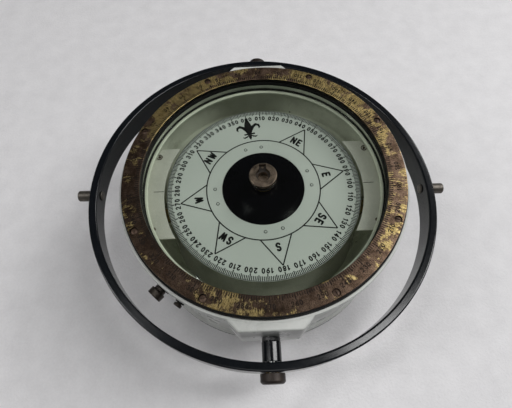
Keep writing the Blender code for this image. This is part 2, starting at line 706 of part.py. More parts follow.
# ---- assembly ----------------------------------------------------------
clear_scene()
TOOL_SURFACE = material("cutting_tool", (0.8, 0.2, 0.2), 0.5)
white_paint = material("white_paint", (0.62, 0.63, 0.60), 0.35)
patinated_brass = material("patinated_brass", (0.24, 0.15, 0.07), 0.45, 1.0)
screw_brass = material("screw_brass", (0.28, 0.18, 0.09), 0.40, 1.0)
black_rubber = material("black_rubber", (0.015, 0.015, 0.015), 0.60)
black_paint = material("black_paint", (0.012, 0.012, 0.013), 0.25)
clear_glass = material("clear_glass", (0.92, 0.97, 0.95), 0.03, 0.0, 0.18)
boss_bronze = material("boss_bronze", (0.20, 0.14, 0.10), 0.40, 1.0)
plain_brass = material("plain_brass", (0.60, 0.42, 0.18), 0.35, 1.0)
cream_plate = material("cream_plate", (0.50, 0.50, 0.42), 0.45)
steel = material("steel", (0.50, 0.50, 0.50), 0.35, 1.0)
dark_steel = material("dark_steel", (0.10, 0.10, 0.10), 0.35, 1.0)
plug_bronze = material("plug_bronze", (0.12, 0.10, 0.08), 0.45, 1.0)
cap_bronze = material("cap_bronze", (0.10, 0.07, 0.05), 0.40, 1.0)
pin_bronze = material("pin_bronze", (0.30, 0.26, 0.22), 0.45, 1.0)
membrane = material("membrane", (0.44, 0.44, 0.37), 0.55)

make_bowl(white_paint)
make_bearing_ring(patinated_brass, screw_brass, black_rubber)
make_glass(clear_glass, black_rubber, black_paint)
make_centre_boss(boss_bronze, plain_brass, black_rubber)
make_lubber_plates(cream_plate, screw_brass)
make_pivot(plain_brass, steel, screw_brass)
make_base(white_paint, black_rubber, membrane, screw_brass)
make_plug(
    "filler_plug", FILLER_ANGLE, (0.0036, 0.0050, 0.0066), (0.1305, 0.1365),
    plug_bronze, "filler_washer", black_rubber,
)
make_plug(
    "vent_screw", VENT_ANGLE, (0.0019, 0.0026, 0.0036), (0.1280, 0.1306),
    plug_bronze, "vent_washer", black_rubber,
)
make_trunnion("front", FRONT, steel, dark_steel, black_paint)
make_trunnion("back", BACK, steel, dark_steel, black_paint)
make_card({
    "card": material("card_white", (0.44, 0.50, 0.46), 0.50),
    "float": material("float_black", (0.010, 0.010, 0.012), 0.15),
    "brass": plain_brass,
    "magnet": dark_steel,
    "jewel": material("jewel", (0.50, 0.10, 0.15), 0.10),
})
make_gimbal({
    "ring": black_paint, "bush": plain_brass, "cap": cap_bronze, "pin": pin_bronze,
})
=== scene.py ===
import json
import math

import bmesh
import bpy
from mathutils import Matrix, Vector


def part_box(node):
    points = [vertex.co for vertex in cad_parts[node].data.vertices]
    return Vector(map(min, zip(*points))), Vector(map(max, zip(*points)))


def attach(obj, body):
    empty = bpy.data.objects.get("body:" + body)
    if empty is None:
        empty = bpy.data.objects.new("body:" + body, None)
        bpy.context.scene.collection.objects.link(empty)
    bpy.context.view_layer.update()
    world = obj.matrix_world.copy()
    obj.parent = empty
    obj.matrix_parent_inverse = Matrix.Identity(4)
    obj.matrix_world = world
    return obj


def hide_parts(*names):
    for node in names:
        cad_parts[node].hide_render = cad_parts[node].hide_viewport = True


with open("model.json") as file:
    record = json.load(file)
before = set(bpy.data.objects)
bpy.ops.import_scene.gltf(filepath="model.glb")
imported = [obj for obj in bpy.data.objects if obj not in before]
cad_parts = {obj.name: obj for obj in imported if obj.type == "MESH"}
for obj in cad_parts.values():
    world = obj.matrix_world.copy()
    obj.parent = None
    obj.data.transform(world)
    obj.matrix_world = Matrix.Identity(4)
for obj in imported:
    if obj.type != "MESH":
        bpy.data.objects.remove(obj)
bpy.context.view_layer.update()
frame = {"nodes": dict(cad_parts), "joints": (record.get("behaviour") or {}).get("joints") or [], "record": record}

# ---- sizes, in metres ----
MM = 0.001
HALF_TURN = math.pi
QUARTER = math.pi / 2
FINE = 192  # sides of large round pieces
COARSE = 48  # sides of small ones
TINY = 24  # sides of screws and rivets


def pairs_about(first, count, step):
    """Angles a step each side of evenly spaced middles."""
    middles = [first + math.tau * index / count for index in range(count)]
    return [middle + side * step for middle in middles for side in (-1, 1)]


# Places read from the frame.
RING_LOW, RING_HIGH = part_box("bearing_ring")
RING_OUTER = RING_HIGH.x
RING_TOP = RING_HIGH.z
GASKET_LOW, GASKET_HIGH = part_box("ring_gasket")
BOWL_LOW, BOWL_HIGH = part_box("bowl_body")
BOWL_RADIUS = BOWL_HIGH.x
LUG_FRONT = BOWL_HIGH.y
GLASS_LOW, GLASS_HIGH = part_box("top_glass")
CLAMP_LOW, CLAMP_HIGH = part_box("glass_clamp_ring")
BOSS_LOW, BOSS_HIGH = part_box("centre_boss")
CARD_LOW, CARD_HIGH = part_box("compass_card")
CARD_RADIUS = CARD_HIGH.y
CARD_TOP = CARD_HIGH.z
FLOAT_LOW, FLOAT_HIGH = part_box("card_float")
PLATE_LOW, PLATE_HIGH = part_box("lubber_plate_aft")
COVER_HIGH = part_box("base_cover")[1]
SEAL_LOW, SEAL_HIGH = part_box("base_seal")
AXIS_Z = frame["joints"][0]["pos_m"][2]

# Places that the boxes don't give.
GAP = 0.3 * MM  # between pieces that don't touch
RING_INNER = 107.6 * MM
SCREW_CIRCLE = 118.9 * MM
SCREW_ANGLES = pairs_about(0.0, 4, math.radians(25))
WALL_OUTER = 121.5 * MM
WALL_INNER = 110.0 * MM
RECESS_RADIUS = 109.3 * MM
LEDGE_RADIUS = 104.8 * MM
CLAMP_INNER = 107.2 * MM
SEAL_INNER = 107.0 * MM
SHELF_RADIUS = 96.0 * MM  # foot of the sloping lower wall
SLOPE_LOW = 36.0 * MM
SLOPE_TOP = 70.0 * MM
SHELF_Z = 38.0 * MM  # seats of the pivot bridge, cut into the slope
SEAT_REACH = 109.2 * MM
SEAT_HALF_WIDTH = 10.6 * MM
FILLER_ANGLE = math.radians(-134.5)
VENT_ANGLE = math.radians(-125.5)
PLUG_Z = 90.0 * MM
PLATE_INNER = 92.6 * MM
LUBBER_SCREW_RADIUS = 106.5 * MM
LUBBER_ANGLES = pairs_about(0.0, 2, math.radians(21))
GIMBAL_INNER = 152.0 * MM
GIMBAL_OUTER = 159.0 * MM
GIMBAL_HEIGHT = 24.0 * MM
CARD_NORTH = math.radians(100)  # where the card's north points at rest
RIVET_CIRCLE = 45.0 * MM
RIVET_ANGLES = pairs_about(CARD_NORTH, 4, math.radians(10))
PRINT_RISE = 0.05 * MM  # thickness of printed marks
BOSS_RECESS = 3.2 * MM  # depth of the socket's wide part
SHARP_TURN = math.radians(35)  # edges that turn more stay sharp
PEN_TURN = math.radians(40)  # a pen stroke that turns more is broken there

# How much each sector of the bearing ring is brightened, as (turn from -X, amount): bare brass polished by use and
# a painted highlight together, the highlight strongest at the front left.
RUBBED_AND_LIT_SECTORS = (
    (0.00, 0.10), (0.17, 0.05), (0.195, 1.0), (0.22, 1.0), (0.25, 0.20), (0.38, 0.05),
    (0.45, 0.85), (0.475, 0.35), (0.57, 0.60), (0.62, 1.00), (0.69, 0.95), (0.74, 0.35),
    (0.81, 0.75), (0.88, 1.00), (0.95, 0.45), (1.00, 0.10),
)

# Lamps as (name, spot, target, size, watts): two long slanting panels aft and forward, weak
# ones behind and overhead, and a small one.
LAMPS = (
    ("panel_aft", (1.75, 0.2, 2.2), (0, 0, 0), (2.2, 0.45), 46),
    ("panel_forward", (-1.8, -0.2, 2.2), (0, 0, 0), (2.2, 0.40), 25),
    ("panel_back", (2.0, 1.70, 1.9), (0, 0, 0), (0.8, 0.6), 22),
    ("panel_overhead", (0.2, -1.1, 2.4), (0, 0, 0), (1.6, 0.8), 6),
    ("lamp_small", (-0.43, 0.42, 2.2), (-0.06, -0.10, 0.12), (0.16, 0.16), 0.9),
)
ROOM_COLOUR, ROOM_STRENGTH = (0.93, 0.95, 1.0, 1.0), 0.045
CAMERA_HEADING, CAMERA_DIP, CAMERA_ROLL = (math.radians(turn) for turn in (-1.08, 63.31, -3.57))
CAMERA_SPOT = (-0.03544, -1.45007, 2.38840)  # in ring radii, from the middle of the ring's top
CAMERA_LENS, CAMERA_SENSOR = 27.78, 36.0  # in millimetres


# ---- mesh helpers ----
def rounded(profile, radius, steps=3, is_ring=True):
    """Round the corners of a (radius, height) outline. Points beside them keep flats flat."""
    beside = 0.1
    points = []
    count = len(profile)
    for index, corner in enumerate(profile):
        if not is_ring and index in (0, count - 1):
            points.append(corner)
            continue
        here = Vector(corner)
        before = Vector(profile[index - 1]) - here
        after = Vector(profile[(index + 1) % count]) - here
        reach = min(radius, 0.45 * before.length, 0.45 * after.length)
        start = here + before.normalized() * reach
        end = here + after.normalized() * reach
        points.append(tuple(start + before.normalized() * reach * beside))
        for step in range(steps + 1):
            t = step / steps
            points.append(tuple((1 - t) ** 2 * start + 2 * t * (1 - t) * here + t ** 2 * end))
        points.append(tuple(end + after.normalized() * reach * beside))
    return points


def add_turned(bm, profile, sides, place=Matrix()):
    """Turn an outline about Z. It is a ring, or a chain that ends on the axis."""
    is_ring = profile[0][0] > 0 or profile[-1][0] > 0
    rows = []
    for radius, height in profile:
        if radius == 0:
            rows.append([bm.verts.new(place @ Vector((0, 0, height)))] * sides)
            continue
        row = []
        for side in range(sides):
            angle = math.tau * side / sides
            spot = Vector((radius * math.cos(angle), radius * math.sin(angle), height))
            row.append(bm.verts.new(place @ spot))
        rows.append(row)
    pairs = list(zip(rows, rows[1:]))
    if is_ring:
        pairs.append((rows[-1], rows[0]))
    for upper, lower in pairs:
        for side in range(sides):
            following = (side + 1) % sides
            corners = [upper[side], upper[following], lower[following], lower[side]]
            unique = list(dict.fromkeys(corners))
            if len(unique) > 2:
                bm.faces.new(unique)


def add_slab(bm, outline, low, high, place=Matrix()):
    """A flat closed plate from an outline of (x, y) points."""
    floor = [bm.verts.new(place @ Vector((x, y, low))) for x, y in outline]
    roof = [bm.verts.new(place @ Vector((x, y, high))) for x, y in outline]
    bm.faces.new(floor)
    bm.faces.new(roof[::-1])
    count = len(outline)
    for index in range(count):
        after = (index + 1) % count
        bm.faces.new([floor[index], roof[index], roof[after], floor[after]])


def new_object(name, data):
    """An object in the scene that holds the given data."""
    made = bpy.data.objects.new(name, data)
    bpy.context.scene.collection.objects.link(made)
    return made


def mesh_of(name, bm):
    """A mesh with the faces of a bmesh, turned outward. The bmesh is freed."""
    bmesh.ops.recalc_face_normals(bm, faces=bm.faces)
    mesh = bpy.data.meshes.new(name)
    bm.to_mesh(mesh)
    bm.free()
    return mesh


def finish_piece(name, bm, surface, body, slot, *nodes):
    """Turn a bmesh into a named piece that rides on a body."""
    finish_mesh(name, mesh_of(name, bm), surface, body, slot, *nodes)


def finish_mesh(name, mesh, surface, body, slot, *nodes):
    """Name, shade and place a finished mesh. It replaces the CAD nodes named."""
    mesh.shade_smooth()
    mesh.set_sharp_from_angle(angle=SHARP_TURN)
    mesh.materials.clear()
    mesh.materials.append(surface)
    piece = new_object(name, mesh)
    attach(piece, body)
    if nodes:
        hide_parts(*nodes)


def turned_piece(
    name, profile, surface, body, slot, *nodes, place=Matrix(), sides=FINE, soft=0.4
):
    """One turned piece, its edges softened by a radius in millimetres."""
    is_ring = profile[0][0] > 0 or profile[-1][0] > 0
    bm = bmesh.new()
    add_turned(bm, rounded(profile, soft * MM, is_ring=is_ring), sides, place)
    finish_piece(name, bm, surface, body, slot, *nodes)


def shaped(bm, *operations):
    """The mesh left after joining and cutting with other bmeshes."""
    shapes = (bm, *[tool for _, tool in operations])
    made = [new_object("shape", mesh_of("shape", shape)) for shape in shapes]
    for (operation, _), tool in zip(operations, made[1:]):
        modifier = made[0].modifiers.new(operation, "BOOLEAN")
        modifier.operation = operation
        modifier.object = tool
    graph = bpy.context.evaluated_depsgraph_get()
    result = bpy.data.meshes.new_from_object(made[0].evaluated_get(graph))
    for holder in made:
        bpy.data.objects.remove(holder)
    return result


def ring_profile(inner, outer, low, high):
    """Rectangular section of a plain ring."""
    return [(outer, high), (outer, low), (inner, low), (inner, high)]


def rod_profile(radius, low, high):
    """Section of a plain rod."""
    return [(0.0, high), (radius, high), (radius, low), (0.0, low)]


def rectangle(left, right, near, far):
    """Outline with its sides along X and Y."""
    return [(left, near), (right, near), (right, far), (left, far)]


def at_angle(radius, angle, height=0.0, facing=0.0):
    """Placement at an angle, turned so that local +Y faces outward."""
    spot = Vector((radius * math.cos(angle), radius * math.sin(angle), height))
    return Matrix.Translation(spot) @ Matrix.Rotation(angle - QUARTER + facing, 4, "Z")


def outward(angle, height):
    """Placement that turns local +Z to point outward at an angle."""
    lay_down = Matrix.Rotation(QUARTER, 4, "Y")
    return Matrix.Translation((0, 0, height)) @ Matrix.Rotation(angle, 4, "Z") @ lay_down


# ---- material helpers ----
def add(tree, kind, inputs=None, **settings):
    """A node with its settings and input values."""
    made = tree.nodes.new(kind)
    for key, value in settings.items():
        setattr(made, key, value)
    for key, value in (inputs or {}).items():
        made.inputs[key].default_value = value
    return made


def join(tree, source, target):
    """Link one socket to another."""
    tree.links.new(source, target)


def place_of(tree):
    """Object coordinates, in metres."""
    return add(tree, "ShaderNodeTexCoord").outputs["Object"]


def noise(tree, scale, detail=4.0, roughness=0.55, vector=None):
    """Noise of a size given by its scale per metre."""
    settings = {"Scale": scale, "Detail": detail, "Roughness": roughness}
    made = add(tree, "ShaderNodeTexNoise", settings)
    join(tree, vector or place_of(tree), made.inputs["Vector"])
    return made.outputs["Fac"]


def ramp(tree, factor, *stops):
    """Colours along a factor, from (position, colour) stops."""
    made = add(tree, "ShaderNodeValToRGB")
    elements = made.color_ramp.elements
    while len(elements) < len(stops):
        elements.new(0.5)
    for element, (position, colour) in zip(elements, stops):
        element.position = position
        element.color = (*colour, 1.0)
    join(tree, factor, made.inputs["Fac"])
    return made.outputs["Color"]


def level(tree, factor, low, high, start=0.0, end=1.0):
    """A factor stretched to run from low to high between start and end."""
    limits = {"From Min": start, "From Max": end, "To Min": low, "To Max": high}
    made = add(tree, "ShaderNodeMapRange", limits)
    join(tree, factor, made.inputs["Value"])
    return made.outputs["Result"]


def blend(tree, factor, first, second, kind="MIX"):
    """Mix two colours, each a socket or a plain colour."""
    made = add(tree, "ShaderNodeMix", data_type="RGBA", blend_type=kind)
    for index, value in ((0, factor), (6, first), (7, second)):
        socket = made.inputs[index]
        if isinstance(value, bpy.types.NodeSocket):
            join(tree, value, socket)
        elif isinstance(value, tuple):
            socket.default_value = (*value, 1.0)
        else:
            socket.default_value = value
    return made.outputs[2]


def math_node(tree, operation, first, second=0.0):
    """Arithmetic on sockets or numbers."""
    made = add(tree, "ShaderNodeMath", operation=operation)
    for socket, value in zip(made.inputs, (first, second)):
        if isinstance(value, bpy.types.NodeSocket):
            join(tree, value, socket)
        else:
            socket.default_value = value
    return made.outputs[0]


def principled(name, metallic=0.0):
    """A new material with its tree and its Principled shader."""
    surface = bpy.data.materials.new(name)
    surface.use_nodes = True
    shader = surface.node_tree.nodes["Principled BSDF"]
    shader.inputs["Metallic"].default_value = metallic
    return surface, surface.node_tree, shader


def add_bump(tree, shader, height, distance):
    """Bump of a depth given in metres."""
    made = add(tree, "ShaderNodeBump", {"Distance": distance, "Strength": 1.0})
    join(tree, height, made.inputs["Height"])
    join(tree, made.outputs["Normal"], shader.inputs["Normal"])


def worn_surface(
    name, light, dark, grain, roughness, metallic=0.0, depth=0.02 * MM, gloss=0.5
):
    """Paint, metal or rubber: mottled colour, uneven gloss and fine grain."""
    surface, tree, shader = principled(name, metallic)
    broad = noise(tree, grain, 5.0, 0.6)
    fine = noise(tree, grain * 9, 4.0, 0.6)
    mottle = blend(tree, 0.4, broad, fine)
    colour = ramp(tree, mottle, (0.34, dark), (0.62, light))
    join(tree, colour, shader.inputs["Base Color"])
    low, high = roughness
    join(tree, level(tree, fine, low, high, 0.3, 0.7), shader.inputs["Roughness"])
    shader.inputs["Specular IOR Level"].default_value = gloss
    add_bump(tree, shader, fine, depth)
    return surface


# ---- materials ----
def radius_of(tree):
    """Distance from the Z axis in metres, and the node that splits the coordinates."""
    split = add(tree, "ShaderNodeSeparateXYZ")
    join(tree, place_of(tree), split.inputs[0])
    across = math_node(tree, "MULTIPLY", split.outputs["X"], split.outputs["X"])
    along = math_node(tree, "MULTIPLY", split.outputs["Y"], split.outputs["Y"])
    return math_node(tree, "SQRT", math_node(tree, "ADD", across, along)), split


def white_enamel():
    """White enamel with faint stains and small chips, painted lighter and creamier inside the bowl; the lightening
    is painted light.
    """
    surface, tree, shader = principled("white_enamel")
    patches = noise(tree, 22, 6.0, 0.65)
    stain = ramp(tree, patches, (0.30, (0.44, 0.45, 0.42)), (0.62, (0.60, 0.61, 0.585)))
    radius, _ = radius_of(tree)
    inside_ends, half_fade = WALL_INNER + 1.0 * MM, 0.2 * MM
    inside = level(tree, radius, 1.0, 0.0, inside_ends - half_fade, inside_ends + half_fade)
    # Painted light: inside the bowl the enamel is made lighter and creamier than outside.
    inside_lightened = blend(tree, inside, stain, blend(tree, 1.0, stain, (1.30, 1.31, 1.16), "MULTIPLY"))
    chips = ramp(tree, noise(tree, 160, 3.0, 0.5), (0.73, (0, 0, 0)), (0.76, (1, 1, 1)))
    join(tree, blend(tree, chips, inside_lightened, (0.26, 0.25, 0.22)), shader.inputs["Base Color"])
    peel = noise(tree, 700, 2.0, 0.4)
    join(tree, level(tree, noise(tree, 60), 0.22, 0.42, 0.3, 0.7), shader.inputs["Roughness"])
    add_bump(tree, shader, peel, 0.015 * MM)
    return surface


def patinated_brass():
    """Bearing ring: pink-brown tarnish, bright sectors of bare brass and painted highlight, radial scratches,
    painted shade to the front left and on the walls.
    """
    surface, tree, shader = principled("patinated_brass", metallic=0.92)
    radius, split = radius_of(tree)
    spoke = add(tree, "ShaderNodeCombineXYZ")
    grain_round, grain_outward = 110.0, 130.0
    for axis in ("X", "Y"):
        share = math_node(tree, "DIVIDE", split.outputs[axis], radius)
        join(tree, math_node(tree, "MULTIPLY", share, grain_round), spoke.inputs[axis])
    join(tree, math_node(tree, "MULTIPLY", radius, grain_outward), spoke.inputs["Z"])
    scratches = noise(tree, 1.0, 5.0, 0.7, spoke.outputs[0])
    flecks = noise(tree, 5.5, 3.0, 0.6, spoke.outputs[0])

    tarnish = ramp(
        tree, noise(tree, 120, 8.0, 0.7),
        (0.30, (0.06, 0.036, 0.022)), (0.47, (0.23, 0.148, 0.100)), (0.66, (0.43, 0.290, 0.205)),
    )
    angle = math_node(tree, "ARCTAN2", split.outputs["Y"], split.outputs["X"])
    turn = level(tree, angle, 0.0, 1.0, -math.pi, math.pi)
    # Sector brightening: bare brass mixed with a painted highlight.
    rubbed_and_lit = ramp(tree, turn, *[(spot, (value, value, value)) for spot, value in RUBBED_AND_LIT_SECTORS])
    wear_and_sheen = noise(tree, 70, 6.0, 0.7)
    wear_and_sheen = math_node(tree, "ADD", wear_and_sheen, level(tree, scratches, -0.14, 0.14))
    wear_and_sheen = math_node(tree, "ADD", wear_and_sheen, level(tree, rubbed_and_lit, -0.10, 0.10))
    worn_and_sheen = level(tree, wear_and_sheen, 0.0, 1.0, 0.50, 0.56)
    brass = ramp(tree, scratches, (0.35, (0.46, 0.325, 0.115)), (0.65, (1.0, 0.78, 0.34)))
    # Painted shade darkens the ring towards the front left, the tarnish more than the bright brass.
    lean = math_node(tree, "MULTIPLY", split.outputs["X"], -5.0)
    lean = math_node(tree, "ADD", lean, math_node(tree, "MULTIPLY", split.outputs["Y"], -6.5))
    front_left_shade = level(tree, lean, 1.0, 0.24, -0.45, 0.75)
    front_left_shade_on_brass = level(tree, lean, 1.0, 0.45, -0.45, 0.75)
    tarnish = blend(tree, 1.0, tarnish, front_left_shade, "MULTIPLY")
    brass = blend(tree, 1.0, brass, front_left_shade_on_brass, "MULTIPLY")
    colour = blend(tree, worn_and_sheen, tarnish, brass)
    specks = level(tree, flecks, 0.0, 0.95, 0.52, 0.57)
    colour = blend(tree, specks, colour, (0.016, 0.011, 0.007))
    # Painted shade: faces that don't look up, the ring's walls, are painted near black.
    facing = add(tree, "ShaderNodeSeparateXYZ")
    join(tree, add(tree, "ShaderNodeNewGeometry").outputs["True Normal"], facing.inputs[0])
    top_unshaded = level(tree, facing.outputs["Z"], 0.0, 1.0, 0.3, 0.8)
    colour = blend(tree, top_unshaded, (0.012, 0.010, 0.008), colour)
    join(tree, colour, shader.inputs["Base Color"])
    join(tree, level(tree, scratches, 0.26, 0.46, 0.3, 0.7), shader.inputs["Roughness"])
    add_bump(tree, shader, blend(tree, 0.5, scratches, flecks), 0.08 * MM)
    return surface


def card_paper():
    """Printed card: matt, slightly green with age."""
    surface, tree, shader = principled("card_face")
    age = noise(tree, 14, 5.0, 0.6)
    colour = ramp(tree, age, (0.35, (0.475, 0.503, 0.482)), (0.65, (0.515, 0.543, 0.522)))
    dust = level(tree, noise(tree, 420, 2.0, 0.5), 0.0, 0.25, 0.62, 0.72)
    join(tree, blend(tree, dust, colour, (0.36, 0.40, 0.36)), shader.inputs["Base Color"])
    join(tree, level(tree, age, 0.45, 0.60, 0.3, 0.7), shader.inputs["Roughness"])
    add_bump(tree, shader, noise(tree, 1500, 2.0), 0.01 * MM)
    return surface


def glass_surface():
    """Clear glass that mirrors by angle and passes light straight through."""
    surface = bpy.data.materials.new("top_glass_clear")
    surface.use_nodes = True
    tree = surface.node_tree
    tree.nodes.remove(tree.nodes["Principled BSDF"])
    tint = ramp(tree, noise(tree, 9, 2.0), (0.3, (0.91, 0.93, 0.905)), (0.7, (0.93, 0.945, 0.92)))
    clear = add(tree, "ShaderNodeBsdfTransparent")
    join(tree, tint, clear.inputs["Color"])
    mirror = add(tree, "ShaderNodeBsdfGlossy", {"Color": (1, 1, 1, 1), "Roughness": 0.03})
    facing = add(tree, "ShaderNodeLayerWeight", {"Blend": 0.5}).outputs["Facing"]
    straight_on = 0.024
    share = math_node(tree, "MULTIPLY", math_node(tree, "POWER", facing, 5.0), 1 - straight_on)
    share = math_node(tree, "ADD", share, straight_on)
    both = add(tree, "ShaderNodeMixShader")
    join(tree, share, both.inputs[0])
    join(tree, clear.outputs[0], both.inputs[1])
    join(tree, mirror.outputs[0], both.inputs[2])
    join(tree, both.outputs[0], tree.nodes["Material Output"].inputs["Surface"])
    return surface


WHITE = white_enamel()
RING_BRASS = patinated_brass()
CARD_FACE = card_paper()
GLASS = glass_surface()
BLACK_ENAMEL = worn_surface(
    "black_enamel", (0.005, 0.006, 0.008), (0.003, 0.004, 0.005), 60, (0.14, 0.19),
    depth=0.002 * MM, gloss=0.35)
BLACK_MATT = worn_surface(
    "black_matt", (0.008, 0.008, 0.007), (0.003, 0.003, 0.003), 90, (0.45, 0.65), gloss=0.15)
RUBBER = worn_surface(
    "black_rubber", (0.014, 0.014, 0.013), (0.005, 0.005, 0.005), 120, (0.55, 0.75), gloss=0.2)
FLOAT_BLACK = worn_surface(
    "float_black", (0.002, 0.002, 0.003), (0.001, 0.001, 0.001), 50, (0.12, 0.18),
    depth=0.002 * MM, gloss=0.04)
INK = worn_surface(
    "printing_ink", (0.008, 0.008, 0.008), (0.003, 0.003, 0.003), 300, (0.50, 0.65), gloss=0.2)
ENGRAVING = worn_surface(
    "engraving_wax", (0.014, 0.009, 0.006), (0.005, 0.003, 0.002), 400, (0.55, 0.75), gloss=0.2)
CREAM = worn_surface(
    "cream_enamel", (0.59, 0.58, 0.53), (0.50, 0.495, 0.45), 40, (0.35, 0.50), depth=0.01 * MM)
BOSS_BRONZE = worn_surface(
    "boss_bronze", (0.24, 0.188, 0.137), (0.020, 0.016, 0.012), 170, (0.28, 0.50), 0.9, 0.20 * MM)
# Near-black bronze for the floor of the boss's socket: painted shade.
SOCKET_SHADE_BRONZE = worn_surface(
    "socket_shade_bronze", (0.040, 0.032, 0.025), (0.008, 0.006, 0.005), 170, (0.45, 0.65),
    0.5, 0.10 * MM)
SCREW_BRASS = worn_surface(
    "screw_bronze", (0.13, 0.085, 0.06), (0.03, 0.020, 0.015), 300, (0.40, 0.60), 0.8, 0.05 * MM)
PLUG_BRONZE = worn_surface(
    "plug_bronze", (0.085, 0.072, 0.060), (0.025, 0.021, 0.018), 200, (0.35, 0.55), 0.8, 0.05 * MM)
CAP_BRONZE = worn_surface(
    "cap_bronze", (0.034, 0.024, 0.018), (0.010, 0.007, 0.006), 180, (0.38, 0.58), 0.5, 0.06 * MM)
PIN_BRONZE = worn_surface(
    "pin_bronze", (0.15, 0.135, 0.118), (0.07, 0.062, 0.053), 260, (0.35, 0.55), 0.8, 0.08 * MM)
COLLAR_STEEL = worn_surface(
    "collar_steel", (0.10, 0.10, 0.10), (0.035, 0.035, 0.036), 220, (0.35, 0.55), 0.7, 0.05 * MM)
STEEL = worn_surface(
    "ground_steel", (0.55, 0.55, 0.54), (0.36, 0.36, 0.36), 200, (0.25, 0.40), 0.95)
PLAIN_BRASS = worn_surface(
    "plain_brass", (0.62, 0.46, 0.20), (0.34, 0.23, 0.10), 90, (0.28, 0.45), 0.9)
JEWEL_RED = worn_surface("jewel_red", (0.45, 0.06, 0.10), (0.30, 0.03, 0.06), 300, (0.05, 0.12))
MEMBRANE = worn_surface("membrane_cream", (0.66, 0.66, 0.56), (0.54, 0.54, 0.45), 60, (0.45, 0.65))


# ---- bowl ----
def make_bowl():
    """White casting: shell, trunnion lugs, plug bosses and ears, cut for the bridge."""
    top = BOWL_HIGH.z
    flange_low, ledge = top - 9.1 * MM, top - 9.4 * MM
    foot_top, foot_radius = 24.0 * MM, 124.2 * MM
    profile = [
        (BOWL_RADIUS, top), (BOWL_RADIUS, flange_low),
        (WALL_OUTER, flange_low - 4 * MM), (WALL_OUTER, foot_top + 2 * MM),
        (foot_radius, foot_top), (foot_radius, BOWL_LOW.z), (SHELF_RADIUS, BOWL_LOW.z),
        (SHELF_RADIUS, SLOPE_LOW), (WALL_INNER, SLOPE_TOP), (WALL_INNER, ledge - 5 * MM),
        (LEDGE_RADIUS, ledge - 2.5 * MM), (LEDGE_RADIUS, ledge),
        (RECESS_RADIUS, ledge), (RECESS_RADIUS, top),
    ]
    shell, lugs, bosses, ears, seats = [bmesh.new() for _ in range(5)]
    add_turned(shell, rounded(profile, 1.2 * MM), FINE)

    half = [(34.5 * MM, 113.0 * MM), (33.5 * MM, 123.0 * MM), (24.5 * MM, LUG_FRONT)]
    outline = [(-x, y) for x, y in half] + half[::-1]
    lug_foot, lug_root = 64.0 * MM, 120 * MM
    for turn in (0.0, HALF_TURN):
        add_slab(lugs, outline, lug_foot, top - GAP, Matrix.Rotation(turn, 4, "Z"))
    outer = [
        edge for edge in lugs.edges
        if max(abs(vert.co.y) for vert in edge.verts) > lug_root
    ]
    bmesh.ops.bevel(lugs, geom=outer, offset=1.5 * MM, segments=3, affect="EDGES", profile=0.5)

    boss_root, boss_face = 116 * MM, 125.5 * MM
    for angle, radius in ((FILLER_ANGLE, 8.8 * MM), (VENT_ANGLE, 6.0 * MM)):
        boss = rounded(rod_profile(radius, boss_root, boss_face), 0.6 * MM, is_ring=False)
        add_turned(bosses, boss, COARSE, outward(angle, PLUG_Z))

    ear_foot = 84 * MM
    for angle in LUBBER_ANGLES:
        ear = rectangle(-4 * MM, 4 * MM, 101 * MM, 111.5 * MM)
        add_slab(ears, ear, ear_foot, PLATE_LOW.z - GAP, at_angle(0, angle))
    seat = rectangle(-SEAT_REACH, SEAT_REACH, -SEAT_HALF_WIDTH, SEAT_HALF_WIDTH)
    add_slab(seats, seat, SHELF_Z, SLOPE_TOP + 2 * MM)
    mesh = shaped(shell, ("UNION", lugs), ("UNION", bosses), ("UNION", ears), ("DIFFERENCE", seats))
    finish_mesh("bowl_casting", mesh, WHITE, "bowl", "white_paint", "bowl_body")


def make_base():
    """Cover and seal under the bowl."""
    drum, hole, skin, step = 101 * MM, 4 * MM, 3 * MM, 8.5 * MM
    profile = [
        (drum - 4 * MM, 0.0), (drum, 4 * MM), (drum, step), (COVER_HIGH.x, step),
        (COVER_HIGH.x, COVER_HIGH.z), (drum - skin, COVER_HIGH.z), (drum - 5 * MM, skin),
        (hole, skin), (hole, 0.0),
    ]
    turned_piece("base_pan", profile[::-1], WHITE, "bowl", "white_paint", "base_cover", soft=0.8)
    section = ring_profile(104 * MM, SEAL_HIGH.x, SEAL_LOW.z, SEAL_HIGH.z)
    turned_piece("base_seal_ring", section, RUBBER, "bowl", "black_rubber", "base_seal", soft=0.3)


